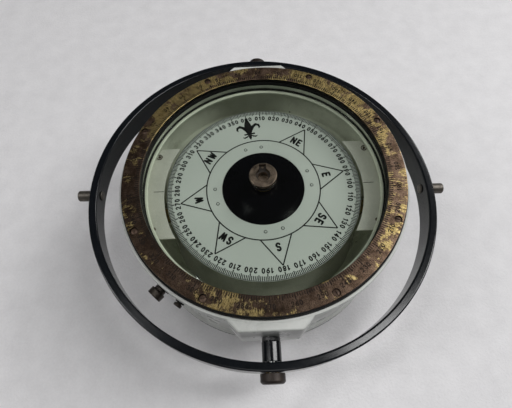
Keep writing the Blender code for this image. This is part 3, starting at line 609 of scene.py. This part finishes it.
def make_ring():
    """Brass bearing ring with screw wells, its screws and its gasket."""
    top = RING_TOP - PRINT_RISE
    body, wells, heads, slots = [bmesh.new() for _ in range(4)]
    section = ring_profile(RING_INNER, RING_OUTER, RING_LOW.z, top)
    add_turned(body, rounded(section, 0.5 * MM), 2 * FINE)
    mouth, floor = top + 2 * MM, top - 6 * MM
    well = [(0.0, mouth), (3.3 * MM, mouth), (3.1 * MM, floor), (0.0, floor)]
    for angle in SCREW_ANGLES:
        add_turned(wells, well, TINY, at_angle(SCREW_CIRCLE, angle))
    mesh = shaped(body, ("DIFFERENCE", wells))
    finish_mesh("bearing_ring_brass", mesh, RING_BRASS, "bowl", "patinated_brass", "bearing_ring")

    head = top - 0.6 * MM
    brim, stem, tip = 2.8 * MM, 1.7 * MM, head - 15 * MM
    screw = [
        (0.0, head), (1.9 * MM, head - 0.1 * MM), (brim, head - 0.5 * MM),
        (brim, head - 3.0 * MM), (stem, head - 3.2 * MM), (stem, tip), (0.0, tip),
    ]
    slot = rectangle(-0.42 * MM, 0.42 * MM, -4 * MM, 4 * MM)
    turn = 0.9  # from each screw's slot to the next one's
    for number, angle in enumerate(SCREW_ANGLES):
        place = at_angle(SCREW_CIRCLE, angle)
        add_turned(heads, screw, TINY, place)
        place = place @ Matrix.Rotation(turn * number, 4, "Z")
        add_slab(slots, slot, head - 0.9 * MM, head + 1 * MM, place)
    mesh = shaped(heads, ("DIFFERENCE", slots))
    nodes = [f"bearing_ring_screw_{number}" for number in range(1, 9)]
    finish_mesh("bearing_ring_screws", mesh, SCREW_BRASS, "bowl", "screw_brass", *nodes)

    section = ring_profile(110 * MM, GASKET_HIGH.x, GASKET_LOW.z, GASKET_HIGH.z)
    turned_piece("bearing_ring_gasket", section, RUBBER, "bowl", "black_rubber", "ring_gasket")


def make_glass():
    """Glass, its seal and the black clamp ring above it."""
    hole = 6.3 * MM
    clamp = ring_profile(CLAMP_INNER, CLAMP_HIGH.x, CLAMP_LOW.z, CLAMP_HIGH.z)
    turned_piece("clamp_ring", clamp, BLACK_MATT, "bowl", "black_paint", "glass_clamp_ring")
    section = ring_profile(hole, GLASS_HIGH.x, GLASS_LOW.z, GLASS_HIGH.z)
    turned_piece("glass_disc", section, GLASS, "bowl", "clear_glass", "top_glass", soft=0.3)
    seal_low, seal_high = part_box("glass_seal")
    section = ring_profile(SEAL_INNER, seal_high.x, seal_low.z, seal_high.z)
    turned_piece("glass_seal_ring", section, RUBBER, "bowl", "black_rubber", "glass_seal", soft=0.3)


def make_boss():
    """Bronze boss in the glass: socket, keyway and a small index hole, with a dark sheet on their floor as painted
    shade.
    """
    top, radius = BOSS_HIGH.z, BOSS_HIGH.x
    mouth, floor, seat = top + 1 * MM, top - BOSS_RECESS, top - 4.0 * MM
    stem, bore, bore_end = 6.0 * MM, 4.6 * MM, top - 8.5 * MM
    key_half, key_end = 3.3 * MM, 10.6 * MM
    index_place = Matrix.Translation((0, 9.3 * MM, 0))
    profile = [
        (0.0, top), (radius, top), (radius, seat), (stem, seat),
        (stem, BOSS_LOW.z), (0.0, BOSS_LOW.z),
    ]
    body, socket, keyway, index = [bmesh.new() for _ in range(4)]
    add_turned(body, rounded(profile, 0.8 * MM, is_ring=False), COARSE * 2)
    well = [
        (0.0, mouth), (6.6 * MM, mouth), (6.2 * MM, floor),
        (bore, floor), (bore, bore_end), (0.0, bore_end),
    ]
    add_turned(socket, well, COARSE)
    add_slab(keyway, rectangle(-key_half, key_half, 0, key_end), floor, mouth)
    add_turned(index, rod_profile(1.1 * MM, floor - 0.6 * MM, top), TINY, index_place)
    cuts = [("DIFFERENCE", tool) for tool in (socket, keyway, index)]
    finish_mesh(
        "glass_boss", shaped(body, *cuts), BOSS_BRONZE, "bowl", "boss_bronze", "centre_boss")

    # Painted shade: a thin dark sheet on the floor of the socket and keyway.
    play = 0.05 * MM
    low, high = floor + 0.02 * MM, floor + 0.12 * MM
    shade_sheet, disc, hollow, pin = [bmesh.new() for _ in range(4)]
    half = key_half - play
    add_slab(shade_sheet, rectangle(-half, half, 0, key_end - 2 * play), low, high)
    add_turned(disc, rod_profile(6.2 * MM - play, low, high), COARSE)
    add_turned(hollow, rod_profile(bore + play, seat, top), COARSE)
    add_turned(pin, rod_profile(1.1 * MM + play, seat, top), COARSE, index_place)
    mesh = shaped(shade_sheet, ("UNION", disc), ("DIFFERENCE", hollow), ("DIFFERENCE", pin))
    finish_mesh("boss_socket_shade", mesh, SOCKET_SHADE_BRONZE, "bowl", "boss_bronze")


def plate_outline():
    """Plan of the aft plate: two arcs between ends parallel to X."""
    steps = 40
    points = []
    for radius, direction in ((PLATE_HIGH.x, 1), (PLATE_INNER, -1)):
        half = math.asin(PLATE_HIGH.y / radius)
        for step in range(steps + 1):
            angle = direction * half * (2 * step / steps - 1)
            points.append((radius * math.cos(angle), radius * math.sin(angle)))
    return points


def make_plates():
    """Lubber plates with bevelled rims and lines, screws in front and wire clips behind."""
    head = PLATE_HIGH.z
    rim, ink = 0.35 * MM, 0.02 * MM
    line = rectangle(92.9 * MM, 102.5 * MM, -0.30 * MM, 0.30 * MM)
    lines, clips, screws = [bmesh.new() for _ in range(3)]
    for name, turn in (("aft", 0.0), ("forward", HALF_TURN)):
        bm = bmesh.new()
        place = Matrix.Rotation(turn, 4, "Z")
        add_slab(bm, plate_outline(), PLATE_LOW.z, head - ink, place)
        rims = [edge for edge in bm.edges if min(vert.co.z for vert in edge.verts) > head - rim]
        bmesh.ops.bevel(bm, geom=rims, offset=rim, segments=3, affect="EDGES", profile=0.5)
        finish_piece(
            f"lubber_shelf_{name}", bm, CREAM, "bowl", "cream_plate", f"lubber_plate_{name}")
        add_slab(lines, line, head - PRINT_RISE, head + ink, place)
    finish_piece("lubber_lines", lines, INK, "bowl", "black_paint")

    wire, bend, steps = 0.40 * MM, 2.5 * MM, 20
    bend_start, bend_turn = 0.30, -1.55  # in half turns
    stem, brim, deep, low = 1.1 * MM, 1.9 * MM, head - 6 * MM, head + 0.1 * MM
    stud = rod_profile(stem, deep, head + 1.0 * MM)
    screw = [
        (0.0, head + 1.3 * MM), (1.3 * MM, head + 1.2 * MM), (brim, head + 0.6 * MM),
        (brim, low), (stem, low), (stem, deep), (0.0, deep),
    ]
    for angle in LUBBER_ANGLES:
        place = at_angle(LUBBER_SCREW_RADIUS, angle)
        if math.sin(angle) < 0:
            add_turned(screws, screw, TINY, place)
            continue
        add_turned(screws, stud, TINY, place)
        centre = at_angle(LUBBER_SCREW_RADIUS, angle, head + wire + 0.1 * MM)
        spots = []
        for step in range(steps + 1):
            turn = HALF_TURN * (bend_start + bend_turn * step / steps)
            spots.append(centre @ Vector((bend * math.cos(turn), bend * math.sin(turn), 0)))
        add_wire(clips, spots, wire)
    finish_piece("lubber_clips", clips, SCREW_BRASS, "bowl", "screw_brass")
    nodes = [f"lubber_screw_{number}" for number in range(1, 5)]
    finish_piece("lubber_fixings", screws, SCREW_BRASS, "bowl", "screw_brass", *nodes)


def add_wire(bm, spots, radius, sides=8):
    """A closed round wire through the given points."""
    rows = []
    for index, spot in enumerate(spots):
        ahead = spots[min(index + 1, len(spots) - 1)] - spots[max(index - 1, 0)]
        side = ahead.normalized().cross(Vector((0, 0, 1))).normalized()
        row = []
        for step in range(sides):
            angle = math.tau * step / sides
            lift = Vector((0, 0, radius * math.sin(angle)))
            row.append(bm.verts.new(spot + side * radius * math.cos(angle) + lift))
        rows.append(row)
    for first, second in zip(rows, rows[1:]):
        for step in range(sides):
            after = (step + 1) % sides
            bm.faces.new([first[step], first[after], second[after], second[step]])
    bm.faces.new(rows[0])
    bm.faces.new(rows[-1][::-1])


def make_plugs():
    """Filler plug and vent screw with their washers."""
    root, seat = 113.0, 127.4
    # Name, angle, radii of stem, neck and head, reach of neck and head, washer.
    kinds = (
        ("filler_plug", FILLER_ANGLE, 3.6, 5.0, 6.6, 130.5, 136.5, "filler_washer"),
        ("vent_screw", VENT_ANGLE, 1.9, 2.6, 3.6, 128.0, 130.6, "vent_washer"),
    )
    for name, angle, stem, neck, head, neck_end, head_end, washer in kinds:
        outline = [
            (0.0, head_end), (head, head_end), (head, neck_end), (neck, neck_end),
            (neck, seat), (stem, seat), (stem, root), (0.0, root),
        ]
        profile = [(radius * MM, reach * MM) for radius, reach in outline]
        place = outward(angle, PLUG_Z)
        body, slot = bmesh.new(), bmesh.new()
        add_turned(body, rounded(profile, 0.7 * MM, is_ring=False), COARSE, place)
        half, reach = 0.08 * head * MM, 1.2 * head * MM
        slot_low, slot_high = (head_end - 0.9) * MM, (head_end + 1) * MM
        slot_place = place @ Matrix.Rotation(0.6, 4, "Z")
        add_slab(slot, rectangle(-half, half, -reach, reach), slot_low, slot_high, slot_place)
        mesh = shaped(body, ("DIFFERENCE", slot))
        finish_mesh(f"{name}_turned", mesh, PLUG_BRONZE, "bowl", "plug_bronze", name)
        section = ring_profile((stem + 0.3) * MM, (head + 0.5) * MM, 125.8 * MM, 127.1 * MM)
        turned_piece(
            f"{washer}_ring", section, RUBBER, "bowl", "black_rubber", washer,
            place=place, sides=COARSE)


def make_trunnions():
    """Collar nuts and glossy sleeves at front and back."""
    bore, face, sleeve_end = 5.3 * MM, LUG_FRONT + GAP, 151.2 * MM
    collar_end = face + 3.0 * MM
    collar = ring_profile(bore, 7.3 * MM, face, collar_end)
    sleeve = ring_profile(bore, 7.7 * MM, collar_end + GAP, sleeve_end)
    for side, angle in (("front", -QUARTER), ("back", QUARTER)):
        place = outward(angle, AXIS_Z)
        turned_piece(
            f"collar_{side}", collar, COLLAR_STEEL, "bowl", "dark_steel",
            f"trunnion_collar_{side}", place=place, sides=COARSE, soft=0.6)
        turned_piece(
            f"sleeve_{side}", sleeve, BLACK_ENAMEL, "bowl", "black_paint",
            f"trunnion_sleeve_{side}", place=place, sides=COARSE, soft=0.5)


# ---- card ----
def arc(centre, reach, start, end, steps=16):
    """Points of an elliptic arc, from one angle to another in degrees."""
    points = []
    for step in range(steps + 1):
        angle = math.radians(start + (end - start) * step / steps)
        across, along = reach[0] * math.cos(angle), reach[1] * math.sin(angle)
        points.append((centre[0] + across, centre[1] + along))
    return points


def glyph_strokes():
    """Width and pen strokes of each character, one unit high."""
    six = [(0.50, 1.0), (0.27, 0.82), (0.10, 0.58), (0.02, 0.34)]
    six_bowl = arc((0.30, 0.30), (0.28, 0.30), 0, 360, 18)
    nine = [[(0.60 - x, 1.0 - y) for x, y in stroke] for stroke in (six, six_bowl)]
    two_top = arc((0.29, 0.72), (0.26, 0.28), 165, -35)
    three_top = arc((0.28, 0.75), (0.25, 0.25), 155, -90)
    three_bowl = arc((0.28, 0.26), (0.29, 0.26), 90, -155)
    five_bowl = arc((0.29, 0.31), (0.29, 0.31), 138, -150)
    eight_top = arc((0.30, 0.76), (0.23, 0.24), 0, 360)
    eight_bowl = arc((0.30, 0.26), (0.28, 0.26), 0, 360)
    s_top = arc((0.29, 0.75), (0.26, 0.25), 25, 270)
    s_bowl = arc((0.29, 0.25), (0.29, 0.25), 90, -155)
    e_frame = [(0.52, 1.0), (0.0, 1.0), (0.0, 0.0), (0.52, 0.0)]
    return {
        "0": (0.60, [arc((0.30, 0.50), (0.28, 0.50), 0, 360, 20)]),
        "1": (0.34, [[(0.02, 0.78), (0.26, 1.0), (0.26, 0.0)]]),
        "2": (0.60, [two_top, [(0.50, 0.56), (0.03, 0.0), (0.58, 0.0)]]),
        "3": (0.60, [three_top, three_bowl]),
        "4": (0.64, [[(0.46, 0.0), (0.46, 1.0), (0.02, 0.28), (0.62, 0.28)]]),
        "5": (0.60, [[(0.54, 1.0), (0.11, 1.0), (0.07, 0.53)], five_bowl]),
        "6": (0.60, [six, six_bowl]),
        "7": (0.58, [[(0.02, 1.0), (0.56, 1.0), (0.18, 0.0)]]),
        "8": (0.60, [eight_top, eight_bowl]),
        "9": (0.60, nine),
        "N": (0.62, [[(0.0, 0.0), (0.0, 1.0), (0.62, 0.0), (0.62, 1.0)]]),
        "E": (0.52, [e_frame, [(0.0, 0.52), (0.46, 0.52)]]),
        "S": (0.58, [s_top, s_bowl]),
        "W": (0.92, [[(0.0, 1.0), (0.23, 0.0), (0.46, 0.86), (0.69, 0.0), (0.92, 1.0)]]),
    }


GLYPHS = glyph_strokes()


def add_ribbon(bm, spots, widths, low, high, place=Matrix()):
    """A flat closed strip along a path, with a width at each point."""
    rows = []
    for index, spot in enumerate(spots):
        ahead = spots[min(index + 1, len(spots) - 1)] - spots[max(index - 1, 0)]
        side = ahead.normalized().orthogonal() * widths[index] / 2
        flat = (spot + side, spot - side)
        corners = [Vector((*corner, height)) for height in (low, high) for corner in flat]
        rows.append([bm.verts.new(place @ corner) for corner in corners])
    for first, second in zip(rows, rows[1:]):
        for start, end in ((0, 1), (1, 3), (3, 2), (2, 0)):
            bm.faces.new([first[start], first[end], second[end], second[start]])
    bm.faces.new([rows[0][corner] for corner in (0, 2, 3, 1)])
    bm.faces.new([rows[-1][corner] for corner in (0, 1, 3, 2)])


def add_pen_stroke(bm, points, pen, low, high, place):
    """A pen stroke with round ends, broken where it turns sharply."""
    run = [Vector(points[0])]
    for index in range(1, len(points)):
        run.append(Vector(points[index]))
        is_last = index == len(points) - 1
        if not is_last:
            ahead = Vector(points[index + 1]) - run[-1]
            if ahead.angle(run[-1] - run[-2]) < PEN_TURN:
                continue
        add_ribbon(bm, run, [pen] * len(run), low, high, place)
        for spot in (run[0], run[-1]):
            dot = arc(spot, (pen / 2, pen / 2), 0, 315, 7)
            add_slab(bm, dot, low, high, place)
        run = [run[-1]]


def add_text(bm, text, height, pen, place, narrow, low, high):
    """Lettering of a given height and pen width, centred and flat at a placement."""
    tall = height - pen
    wide = tall * narrow
    gap = pen + 0.20 * wide
    total = sum(GLYPHS[letter][0] * wide for letter in text) + gap * (len(text) - 1)
    start = -total / 2
    for letter in text:
        width, strokes = GLYPHS[letter]
        for stroke in strokes:
            points = [(start + x * wide, (y - 0.5) * tall) for x, y in stroke]
            add_pen_stroke(bm, points, pen, low, high, place)
        start += width * wide + gap


def add_bar(bm, start, end, width, low, high):
    """A straight printed line between two points of the plan."""
    start, end = Vector(start), Vector(end)
    side = (end - start).normalized().orthogonal() * width / 2
    outline = [start - side, end - side, end + side, start + side]
    add_slab(bm, [tuple(point) for point in outline], low, high)


def on_card(bearing, radius):
    """Plan point at a card bearing in degrees."""
    angle = CARD_NORTH - math.radians(bearing)
    return (radius * math.cos(angle), radius * math.sin(angle))


def tick_length(degree, short, middle, long):
    """Longer marks at the fives and the tens."""
    if degree % 10 == 0:
        return long
    return middle if degree % 5 == 0 else short


def make_card_print():
    """Degree marks, numbers, point triangles, letters, rivet rims and the north mark."""
    low, high = CARD_TOP, CARD_TOP + PRINT_RISE
    bm = bmesh.new()
    outer = CARD_RADIUS - 0.25 * MM
    add_turned(bm, ring_profile(outer - 0.45 * MM, outer, low, high + 0.01 * MM), FINE)
    for degree in range(360):
        inner = outer - tick_length(degree, 4.4, 5.2, 6.4) * MM
        width = (0.95 if degree % 5 == 0 else 0.80) * MM
        add_bar(bm, on_card(degree, outer), on_card(degree, inner), width, low, high)
    number_circle, number_height, number_pen = 80.4 * MM, 5.1 * MM, 1.15 * MM
    for degree in range(0, 360, 10):
        place = at_angle(number_circle, CARD_NORTH - math.radians(degree))
        add_text(bm, f"{degree:03d}", number_height, number_pen, place, 0.90, low, high)

    line, circle, apex = 1.15 * MM, 52.8 * MM, 77.5 * MM
    base = 15.5  # degrees each side of a triangle's point
    add_turned(bm, ring_profile(circle - line / 2, circle + line / 2, low, high), FINE)
    letter_circle, letter_height, letter_pen = 60.6 * MM, 8.4 * MM, 1.85 * MM
    names = {45: "NE", 90: "E", 135: "SE", 180: "S", 225: "SW", 270: "W", 315: "NW"}
    for bearing, letters in names.items():
        for side in (-base, base):
            foot = on_card(bearing + side, circle)
            add_bar(bm, foot, on_card(bearing, apex), line, low, high)
        place = at_angle(letter_circle, CARD_NORTH - math.radians(bearing))
        add_text(bm, letters, letter_height, letter_pen, place, 0.80, low, high)
    rim = ring_profile(1.10 * MM, 1.65 * MM, low, high)
    for angle in RIVET_ANGLES:
        add_turned(bm, rim, TINY, at_angle(RIVET_CIRCLE, angle))
    add_north_mark(bm, low, high)
    finish_piece("card_print", bm, INK, "card", "float_black")


def petal(length, width, steps=14):
    """Outline of a leaf that starts at the origin."""
    points = []
    for direction in (1, -1):
        for step in range(steps):
            t = step / steps if direction == 1 else 1 - step / steps
            bulge = width / 2 * math.sin(math.pi * t ** 0.75)
            points.append((direction * bulge, length * t))
    return points


def add_north_mark(bm, low, high):
    """A plain fleur-de-lis: middle leaf, two curled leaves, a band and its foot."""
    place = at_angle(62 * MM, CARD_NORTH)
    add_slab(bm, petal(21 * MM, 7.5 * MM), low, high, place)
    add_slab(bm, petal(-7 * MM, 3.2 * MM), low, high, place)
    # Points of each curled leaf, as (x, y, width) in millimetres.
    leaf = (
        (1.6, 1.0, 1.0), (2.9, 5.0, 2.2), (5.0, 9.0, 3.2), (8.2, 11.0, 3.2),
        (10.8, 9.6, 2.6), (11.4, 7.0, 1.8), (10.4, 5.4, 0.6),
    )
    root = ((1.2, -0.8, 0.8), (3.0, -2.8, 1.6), (5.6, -3.6, 1.6), (7.4, -2.6, 0.5))
    for flip in (-1, 1):
        for path in (leaf, root):
            spots = [Vector((x * flip * MM, y * MM)) for x, y, _ in path]
            add_ribbon(bm, spots, [width * MM for _, _, width in path], low, high, place)
    add_slab(bm, rectangle(-5.4 * MM, 5.4 * MM, -0.6 * MM, 1.2 * MM), low, high, place)


def make_card():
    """Card disc, float dome and rivets, all turning together."""
    section = ring_profile(38.3 * MM, CARD_RADIUS, CARD_LOW.z, CARD_TOP)
    turned_piece("card_disc", section, CARD_FACE, "card", "card_white", "compass_card", soft=0.2)
    make_card_print()

    top, bottom = FLOAT_HIGH.z, FLOAT_LOW.z
    radius, inside, hole, skin = 38.0 * MM, 36.5 * MM, 8.5 * MM, 1.5 * MM
    flange, flange_top = 50 * MM, CARD_LOW.z - GAP
    profile = [(0.0, top)]
    dome, dome_drop = 8, 3.6 * MM
    for step in range(1, dome + 1):
        t = step / dome
        profile.append((radius * t, top - dome_drop * t ** 2.5))
    profile += [
        (radius, flange_top), (flange, flange_top), (flange, flange_top - skin),
        (radius, flange_top - skin), (radius, 84 * MM), (34 * MM, 78 * MM), (24 * MM, bottom),
        (hole, bottom), (hole, bottom + skin), (23.5 * MM, bottom + skin),
        (32.8 * MM, 79.3 * MM), (inside, 84.6 * MM), (inside, 92 * MM),
        (18 * MM, top - 2.1 * MM), (0.0, top - skin),
    ]
    turned_piece("float_dome", profile, FLOAT_BLACK, "card", "float_black", "card_float", soft=0.5)

    rivets = bmesh.new()
    crown, brim = CARD_TOP + 0.7 * MM, CARD_TOP + 0.5 * MM
    head = [(0.0, crown), (0.8 * MM, brim), (1.1 * MM, CARD_TOP), (0.0, CARD_TOP)]
    for angle in RIVET_ANGLES:
        add_turned(rivets, head, TINY, at_angle(RIVET_CIRCLE, angle))
    finish_piece("card_rivets", rivets, CARD_FACE, "card", "card_white")


# ---- bearing ring scale ----
def make_ring_scale():
    """Engraved degrees, zero forward and clockwise, with the figures' tops inward."""
    top, low = RING_TOP, RING_TOP - 2 * PRINT_RISE
    inner, figure_circle = RING_INNER + 0.7 * MM, 116.3 * MM
    figure_height, figure_pen = 4.2 * MM, 0.75 * MM
    bm = bmesh.new()
    for degree in range(360):
        angle = HALF_TURN - math.radians(degree)
        length = tick_length(degree, 3.0, 4.2, 5.4) * MM
        width = (0.95 if degree % 5 == 0 else 0.75) * MM
        direction = Vector((math.cos(angle), math.sin(angle)))
        add_bar(bm, direction * inner, direction * (inner + length), width, low, top)
        if degree % 10 == 0:
            place = at_angle(figure_circle, angle, facing=HALF_TURN)
            add_text(bm, str(degree), figure_height, figure_pen, place, 0.9, low, top)
    finish_piece("bearing_ring_scale", bm, ENGRAVING, "bowl", "patinated_brass")


# ---- gimbal ----
def gimbal_place():
    """The gimbal's frame at rest: on its axis, with its resting lean."""
    aft = sum(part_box("gimbal_pin_aft"), Vector()) / 2
    forward = sum(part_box("gimbal_pin_forward"), Vector()) / 2
    lean = math.atan2(forward.z - aft.z, aft.x - forward.x)
    return Matrix.Translation((0, 0, AXIS_Z)) @ Matrix.Rotation(lean, 4, "Y")


def make_gimbal():
    """Black ring, its outer pins and its bearing caps."""
    home = gimbal_place()
    half = GIMBAL_HEIGHT / 2
    section = ring_profile(GIMBAL_INNER, GIMBAL_OUTER, -half, half)
    turned_piece(
        "gimbal_band", section, BLACK_ENAMEL, "gimbal", "black_paint", "gimbal_ring",
        place=home, sides=2 * FINE, soft=1.4)

    face = GIMBAL_OUTER + GAP
    pin_end, inside = 173 * MM, GIMBAL_INNER - 0.4 * MM
    pin_radius, stem, tail = 5.0 * MM, 3.4 * MM, inside - 1.2 * MM
    pin = [
        (0.0, pin_end), (4.2 * MM, pin_end), (pin_radius, pin_end - 1.0 * MM),
        (pin_radius, face), (stem, face), (stem, inside), (4.6 * MM, inside),
        (3.6 * MM, tail), (0.0, tail),
    ]
    cap_end, cap_radius = 167 * MM, 9.8 * MM
    bore, bore_end = 4.5 * MM, 161.1 * MM
    cap = [
        (0.0, cap_end), (8.2 * MM, cap_end), (cap_radius, cap_end - 1.6 * MM),
        (cap_radius, face), (bore, face), (bore, bore_end), (0.0, bore_end),
    ]
    for side, angle in (("aft", 0.0), ("forward", HALF_TURN)):
        turned_piece(
            f"outer_pin_{side}", pin, PIN_BRONZE, "gimbal", "pin_bronze",
            f"gimbal_pin_{side}", place=home @ outward(angle, 0), sides=COARSE, soft=0.35)
    for side, angle in (("front", -QUARTER), ("back", QUARTER)):
        turned_piece(
            f"cap_{side}", cap, CAP_BRONZE, "gimbal", "cap_bronze",
            f"bearing_cap_{side}", place=home @ outward(angle, 0), sides=COARSE, soft=0.5)


# ---- carried-over nodes ----
def dress_nodes():
    """Give every CAD node that still shows a finished material."""
    by_slot = {
        "screw_brass": SCREW_BRASS, "plain_brass": PLAIN_BRASS, "steel": STEEL,
        "dark_steel": COLLAR_STEEL, "black_rubber": RUBBER, "membrane": MEMBRANE,
        "jewel": JEWEL_RED, "white_paint": WHITE, "patinated_brass": RING_BRASS,
        "black_paint": BLACK_ENAMEL, "clear_glass": GLASS, "boss_bronze": BOSS_BRONZE,
        "cream_plate": CREAM, "plug_bronze": PLUG_BRONZE, "cap_bronze": CAP_BRONZE,
        "pin_bronze": PIN_BRONZE, "card_white": CARD_FACE, "float_black": FLOAT_BLACK,
    }
    for entry in frame["record"]["subparts"]:
        node = frame["nodes"][entry["node"]]
        node.data.materials.clear()
        node.data.materials.append(by_slot[entry["material_slot"]])


# ---- stage, light and camera ----
def make_stage():
    """Plain pale table."""
    bm = bmesh.new()
    bmesh.ops.create_grid(bm, x_segments=1, y_segments=1, size=3.0)  # half its side
    mesh = bpy.data.meshes.new("table")
    bm.to_mesh(mesh)
    bm.free()
    table = new_object("table", mesh)
    mesh.materials.append(worn_surface(
        "table_pale", (0.74, 0.73, 0.74), (0.66, 0.65, 0.66), 45, (0.50, 0.70), depth=0.4 * MM))


def add_light(name, spot, target, size, power):
    """A rectangular lamp that faces a target, its first side slanting up."""
    lamp = bpy.data.lights.new(name, "AREA")
    lamp.shape = "RECTANGLE"
    lamp.size, lamp.size_y = size
    lamp.energy = power
    holder = new_object(name, lamp)
    holder.location = spot
    direction = Vector(target) - Vector(spot)
    holder.rotation_euler = direction.to_track_quat("-Z", "X").to_euler()


def make_light():
    """Soft room light and the lamps."""
    world = bpy.data.worlds.new("room")
    bpy.context.scene.world = world
    world.use_nodes = True
    background = world.node_tree.nodes["Background"]
    background.inputs["Color"].default_value = ROOM_COLOUR
    background.inputs["Strength"].default_value = ROOM_STRENGTH
    for lamp in LAMPS:
        add_light(*lamp)


def make_camera():
    """Camera above the front trunnion, looking steeply down."""
    camera = bpy.data.cameras.new("camera")
    camera.sensor_width = CAMERA_SENSOR
    camera.lens = CAMERA_LENS
    east, north = math.sin(CAMERA_HEADING), math.cos(CAMERA_HEADING)
    flat = math.cos(CAMERA_DIP)
    ahead = Vector((east * flat, north * flat, -math.sin(CAMERA_DIP)))
    level_right = Vector((north, -east, 0))
    level_up = level_right.cross(ahead)
    right = level_right * math.cos(CAMERA_ROLL) + level_up * math.sin(CAMERA_ROLL)
    up = level_up * math.cos(CAMERA_ROLL) - level_right * math.sin(CAMERA_ROLL)
    turn = Matrix((right, up, -ahead)).transposed().to_4x4()
    holder = new_object("camera", camera)
    eye = Vector(CAMERA_SPOT) * RING_OUTER + Vector((0, 0, RING_TOP))
    holder.matrix_world = Matrix.Translation(eye) @ turn
    bpy.context.scene.camera = holder


bpy.context.scene.view_settings.view_transform = "Standard"
make_camera()
make_light()
make_stage()
dress_nodes()
make_bowl()
make_base()
make_ring()
make_ring_scale()
make_glass()
make_boss()
make_plates()
make_plugs()
make_trunnions()
make_card()
make_gimbal()
